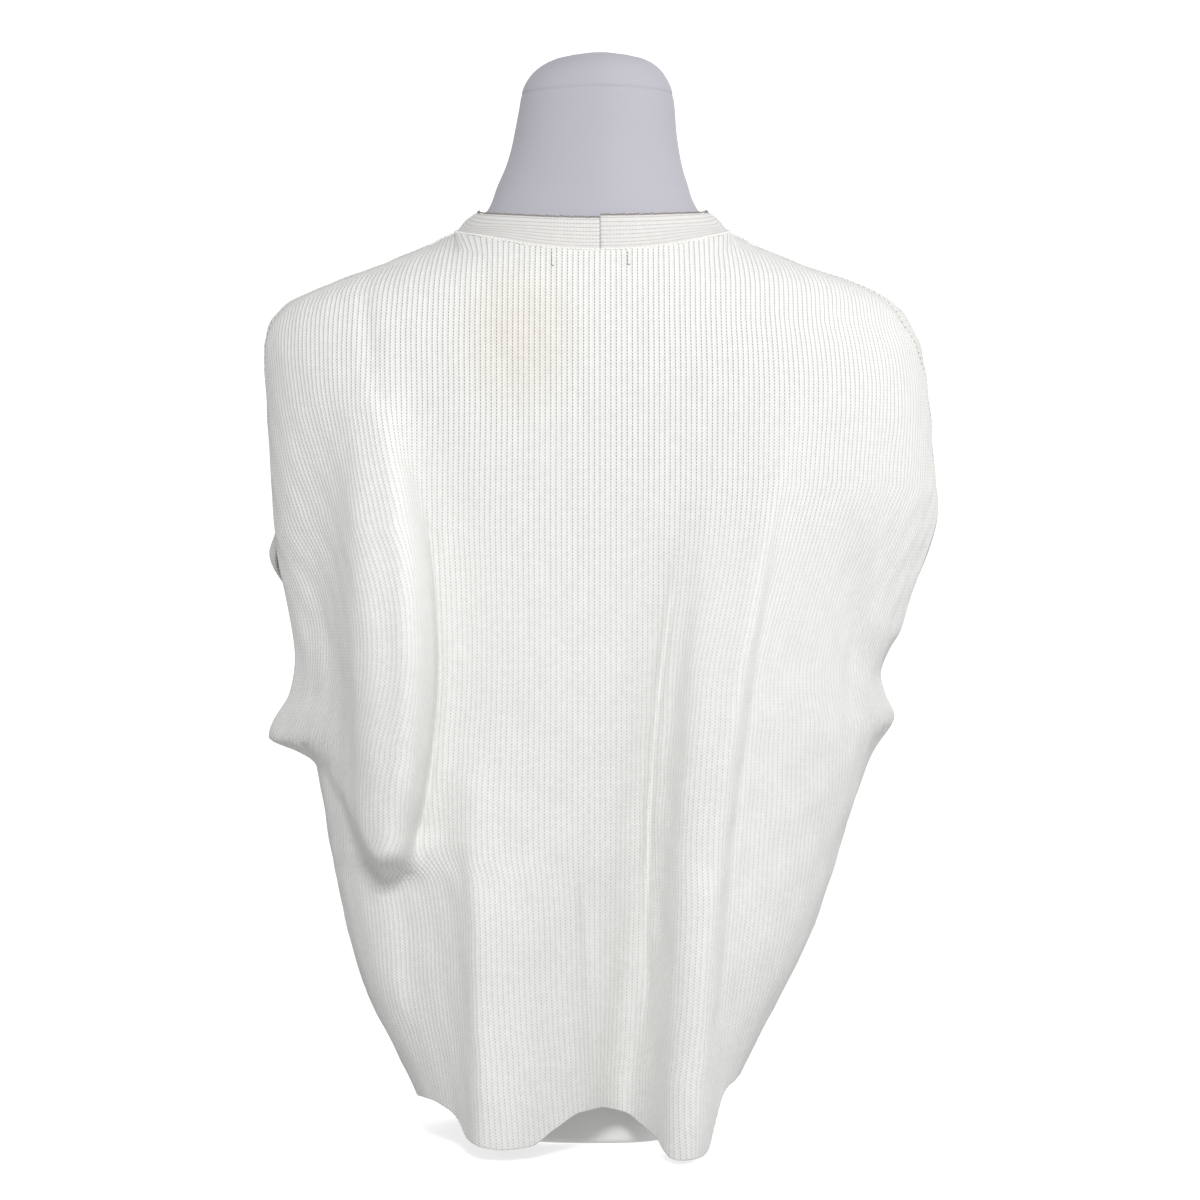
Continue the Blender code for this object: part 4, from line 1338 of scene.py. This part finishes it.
    def chain(self) -> None:
        """The linked chain that joins the band to the panels."""
        mesh = bmesh.new()
        for hand, face in product(Hand, Face):
            path = self.neck_path(hand, face, 0.0, 0.0)
            for at, along, out in self.even_places(path, self.chain_pitch):
                self.bead(mesh, at + out * self.chain_lift, along, out,
                          self.chain_pitch * self.chain_overlap, self.chain_thick)
        self.finish(mesh, "neck_seam_chain", self.chain_finish)

    def band_edge(self) -> None:
        """Dark, uneven beads along the neckband's free edge: painted shadow where the edge meets the
        neck.
        """
        mesh = bmesh.new()
        for hand, face in product(Hand, Face):
            rise = self.edge_rise + (SEAM_GAP if face is Face.BACK else V_SEAM_LIFT)
            path = self.neck_path(hand, face, 1.0, rise)
            for step, (at, along, out) in enumerate(self.even_places(path, self.edge_pitch)):
                sunk = at - out * self.edge_sunk
                quick, slow = (step * beat for beat in self.edge_beats)
                sunk[2] += self.edge_uneven * math.sin(quick) * math.cos(slow)
                self.bead(mesh, sunk, along, out, self.edge_long, self.edge_thick)
        self.finish(mesh, "neckband_edge_painted_shadow", self.edge_shadow_finish)

    def seams(self) -> None:
        """Small ladders of thread across the seams; the shoulder's is set back, with a dark bead of
        painted shade in each gap between its rungs.
        """
        ladder, gaps = bmesh.new(), bmesh.new()
        for hand in Hand:
            hole = ARMHOLES[hand]
            side = self.seam_path(hand, hem_end(Face.BACK, hand) + self.seam_end,
                                  hole.underarm_z - self.seam_end, 0.0)
            shoulder = self.seam_path(hand, hole.top_z + self.seam_end,
                                      NECK_SIDE_Z[hand] - self.shoulder_top, self.shoulder_set_back)
            for path in (side, shoulder):
                for at, along, out in self.even_places(path, self.seam_pitch):
                    at, across = at + out * self.seam_lift, np.cross(out, along)
                    self.bead(ladder, at, across, out, self.seam_long, self.seam_thick)
                    # a dark bead in each gap of the shoulder seam: painted shade
                    if path is shoulder:
                        self.bead(gaps, at + along * self.seam_pitch / 2, across, out, self.gap_long,
                                  self.gap_thick)
        self.finish(gaps, "shoulder_seam_painted_gap_shade", self.mark_and_gap_shade_finish)
        self.finish(ladder, "side_and_shoulder_seam_thread", self.chain_finish)

    def marks(self) -> None:
        """Two short upright lines of dark stitches below the back of the neck, each with a tail."""
        mesh = bmesh.new()
        for line in self.mark_lines:
            z = np.linspace(line.top_z, line.low_z, line.count)
            share = self.skin.share_of(line.hand, Face.BACK, np.full(line.count, line.flat), z)
            points, normals = self.skin.look_up(line.hand, z, share)
            for at, out in zip(points, normals):
                self.bead(mesh, at + out * self.mark_lift, np.array(self.mark_along), out,
                          self.mark_long, self.mark_thick)
            tail = points[-1] + np.array(self.tail_at) + normals[-1] * self.mark_lift
            self.bead(mesh, tail, np.array(self.tail_along), normals[-1], self.tail_long,
                      self.mark_thick)
        self.finish(mesh, "old_stitch_lines", self.mark_and_gap_shade_finish)

    def build(self) -> None:
        """All the thread on the vest, and the beads of painted shade."""
        self.chain()
        self.band_edge()
        self.seams()
        self.marks()


# ---------------------------------------------------------------- the dress form
@dataclass
class DressForm:
    """The limbless form under the vest: a sphere's vertices moved to its sections."""

    skin: Skin
    finish: JerseyFinish
    base_finish: LacquerFinish
    around: int = 128
    foot_round: float = 4.0 * MM
    base_top_z: float = 0.070
    cap_seam_z: float = 0.7560
    cap_seam_depth: float = 0.9 * MM
    cap_seam_wide: float = 0.7 * MM
    ring_bands: tuple[tuple[float, float, int], ...] = (
        (0.03, 0.50, 18), (0.52, 0.60, 9), (0.606, 0.70, 36), (0.704, 0.752, 13), (0.760, 0.7865, 12))
    foot_steps: tuple[float, ...] = (0.0, 1.0, 0.3)      # share of the rounding, by ring

    def levels(self) -> np.ndarray:
        """Heights of the rings, close together at the shoulders, the neck and the cap seam."""
        seam = self.cap_seam_z + np.array([-1.6, -0.8, 0.0, 0.8, 1.6]) * MM
        bands = [np.linspace(low, high, count) for low, high, count in self.ring_bands]
        return np.unique(np.concatenate([[0.0, self.foot_round / 3, self.foot_round], seam, *bands]))

    def side_points(self, hand: Hand, share: float, levels: np.ndarray) -> np.ndarray:
        """The form's points at one share of the way round a side.

        Args:
            hand: the side.
            share: 0 at the centre back, 1 at the centre front.
            levels: heights of the rings.

        Returns:
            A point for each ring.
        """
        z = levels[:, None]
        reach = column(FORM_BODY, hand.name.lower(), z)
        square = column(FORM_BODY, "square", z)
        back = self.skin.quarter(reach, np.abs(column(FORM_BODY, "back", z)), square)
        front = self.skin.quarter(reach, column(FORM_BODY, "front", z), square)
        ring, run = Skin.joined(hand, back, front)
        own = np.empty((len(levels), 3))
        for i in range(len(levels)):
            own[i, 0] = np.interp(share * run[i, -1], run[i], ring[i, :, 0])
            own[i, 1] = np.interp(share * run[i, -1], run[i], ring[i, :, 1])
        own[:, 2] = levels
        skin, normal = self.skin.look_up(hand, np.clip(levels, MM, SKIN_TOP_Z - MM),
                                         np.full(len(levels), share))
        toward_front = smooth((share - FORM_FRONT_FROM) / (0.5 - FORM_FRONT_FROM))
        depth = FORM_DEPTH_BACK + (FORM_DEPTH_FRONT - FORM_DEPTH_BACK) * toward_front
        under = skin - depth * normal
        rising, leaving = (smooth((levels - start) / (end - start))
                           for start, end in (FORM_MEETS_CLOTH, FORM_LEAVES_CLOTH))
        follows = (rising * (1 - leaving))[:, None]
        points = own * (1 - follows) + under * follows
        groove = self.cap_seam_depth * np.exp(-((levels - self.cap_seam_z) / self.cap_seam_wide) ** 2)
        radius = np.maximum(np.hypot(points[:, 0], points[:, 1]), 1e-6)
        points[:, :2] *= (1 - groove / radius)[:, None]
        return points

    def build(self) -> bpy.types.Object:
        """The covered form, dressed.

        Returns:
            The form's object.
        """
        levels = self.levels()
        rings = len(levels) + 1
        mesh = bmesh.new()
        bmesh.ops.create_uvsphere(mesh, u_segments=self.around, v_segments=rings, radius=1.0)
        rows = []
        for step in range(self.around):
            turn = step / self.around
            hand = Hand.RIGHT if turn <= 0.5 else Hand.LEFT
            rows.append(self.side_points(hand, 2 * min(turn, 1 - turn), levels))
        for vertex in mesh.verts:
            level = round(math.acos(max(-1.0, min(1.0, -vertex.co.z))) / math.pi * rings)
            if level == 0:
                vertex.co = (0.5 * (FORM_BODY[0].right - FORM_BODY[0].left), 0.0, 0.0)
            elif level == rings:
                vertex.co = (0.0, 0.0, FORM_TOP_Z)
            else:
                turn = math.atan2(vertex.co.x, -vertex.co.y) / (2 * math.pi)
                vertex.co = rows[round(turn * self.around) % self.around][level - 1]
                if level < len(self.foot_steps):
                    rounding = self.foot_steps[level] * self.foot_round
                    vertex.co.x *= 1 - rounding / FORM_BODY[0].left
                    vertex.co.y *= 1 - rounding / FORM_BODY[0].front
        bmesh.ops.recalc_face_normals(mesh, faces=mesh.faces)
        bmesh.ops.translate(mesh, verts=mesh.verts, vec=(*CENTRE_SHIFT, 0.0))
        data = mesh_data("dress_form_cover", mesh)
        for polygon in data.polygons:
            polygon.material_index = int(polygon.center.z < self.base_top_z)
        obj = dressed(data, self.finish.material(), self.base_finish.material())
        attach(obj, "root")
        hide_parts("form_torso")
        LOG.info("dress form: %d faces", len(data.polygons))
        return obj


# ---------------------------------------------------------------- the studio
@dataclass
class Lamp:
    """A soft area lamp, aimed at a point."""

    name: str
    place: tuple[float, float, float]
    aim: tuple[float, float, float]
    size: float
    watts: float

    def build(self) -> None:
        """Add the lamp to the scene."""
        data = bpy.data.lights.new(self.name, "AREA")
        data.size = self.size
        data.energy = self.watts
        lamp = bpy.data.objects.new(self.name, data)
        lamp.location = self.place
        toward = Vector(self.aim) - Vector(self.place)
        lamp.rotation_mode = "QUATERNION"
        lamp.rotation_quaternion = toward.to_track_quat("-Z", "Y")
        bpy.context.scene.collection.objects.link(lamp)


@dataclass
class Studio:
    """White seamless paper, soft lamps and the camera of the photo."""

    paper: PaperFinish
    half_width: float = 5.0
    floor_front: float = -4.5
    bend_from: float = 2.2
    bend_radius: float = 1.2
    wall_height: float = 3.6
    below_foot: float = 0.4 * MM
    paper_steps: int = 60
    sky: float = 0.45
    camera_place: tuple[float, float, float] = (-0.0012, -2.4004, 0.388)
    lens: float = 98.6
    sensor: float = 36.0
    lamps: tuple[Lamp, ...] = (
        Lamp("key_softbox", (0.0, -2.2, 1.35), (0.0, 0.0, 0.42), 0.45, 34.0),
        Lamp("side_softbox", (2.4, -0.2, 1.4), (0.0, 0.0, 0.48), 0.8, 25.0),
    )

    def backdrop(self) -> None:
        """Bend a flat grid into a floor that curves up to a wall."""
        mesh = bmesh.new()
        bmesh.ops.create_grid(mesh, x_segments=4, y_segments=self.paper_steps, size=1.0)
        level = self.bend_from - self.floor_front
        curve = self.bend_radius * math.pi / 2
        whole = level + curve + self.wall_height
        for vertex in mesh.verts:
            run = (vertex.co.y + 1) / 2 * whole
            turned = min(max(run - level, 0.0), curve) / self.bend_radius
            climbed = max(run - level - curve, 0.0)
            vertex.co.x *= self.half_width
            vertex.co.y = self.floor_front + min(run, level) + self.bend_radius * math.sin(turned)
            vertex.co.z = self.bend_radius * (1 - math.cos(turned)) + climbed - self.below_foot
        floor = dressed(mesh_data("paper_floor", mesh), self.paper.material())
        floor.visible_diffuse = False        # its glow doesn't light the cloth from below

    def build(self) -> None:
        """Paper, sky, lamps and camera."""
        self.backdrop()
        world = bpy.data.worlds.new("studio_air")
        bpy.context.scene.world = world
        world.use_nodes = True
        wired(world.node_tree, world.node_tree.nodes["Background"], Color=(1.0, 1.0, 1.0, 1.0),
              Strength=self.sky)
        for lamp in self.lamps:
            lamp.build()
        data = bpy.data.cameras.new("photo_camera")
        data.lens = self.lens
        data.sensor_width = self.sensor
        camera = bpy.data.objects.new("photo_camera", data)
        camera.location = self.camera_place
        camera.rotation_euler = (math.pi / 2, 0.0, 0.0)
        bpy.context.scene.collection.objects.link(camera)
        bpy.context.scene.camera = camera
        bpy.context.scene.view_settings.view_transform = "Standard"
        LOG.info("studio: %d lamps", len(self.lamps))


def main() -> None:
    """Load the frame, build the vest over it and light it."""
    logging.basicConfig(level=logging.INFO, format="%(message)s")
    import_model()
    skin = Skin()
    LOG.info("skin: %d levels", len(skin.levels))
    # each knit finish paints its shade colour into the gaps between wales and between stitches
    rib = KnitFinish("ivory_rib_knit_yarn", patch_strength=0.35)
    plain_rib = KnitFinish("ivory_rib_knit_yarn_front")
    band = KnitFinish("ivory_band_knit_yarn", yarn="E5E4E2", shade="A8A49E")
    DressForm(skin, JerseyFinish("lavender_grey_cotton_jersey"),
              LacquerFinish("white_lacquer")).build()
    RibPanel(skin, Face.BACK, rib).build()
    RibPanel(skin, Face.FRONT, plain_rib).build()
    for hand in Hand:
        NeckBand(skin, hand, band).build()
    Stitches(skin, ThreadFinish("ivory_linking_thread", "F1EFEA"),
             # the grey finish is the old stitches' thread, and also paints the shade in the shoulder
             # seam's gaps
             ThreadFinish("grey_thread_and_painted_gap_shade", "8E8983"),
             # the brown-grey beads paint the shadow along the band's free edge
             ThreadFinish("brown_grey_painted_edge_shadow", "8C847B")).build()
    Studio(PaperFinish("white_seamless_paper")).build()


if __name__ == "__main__":
    main()
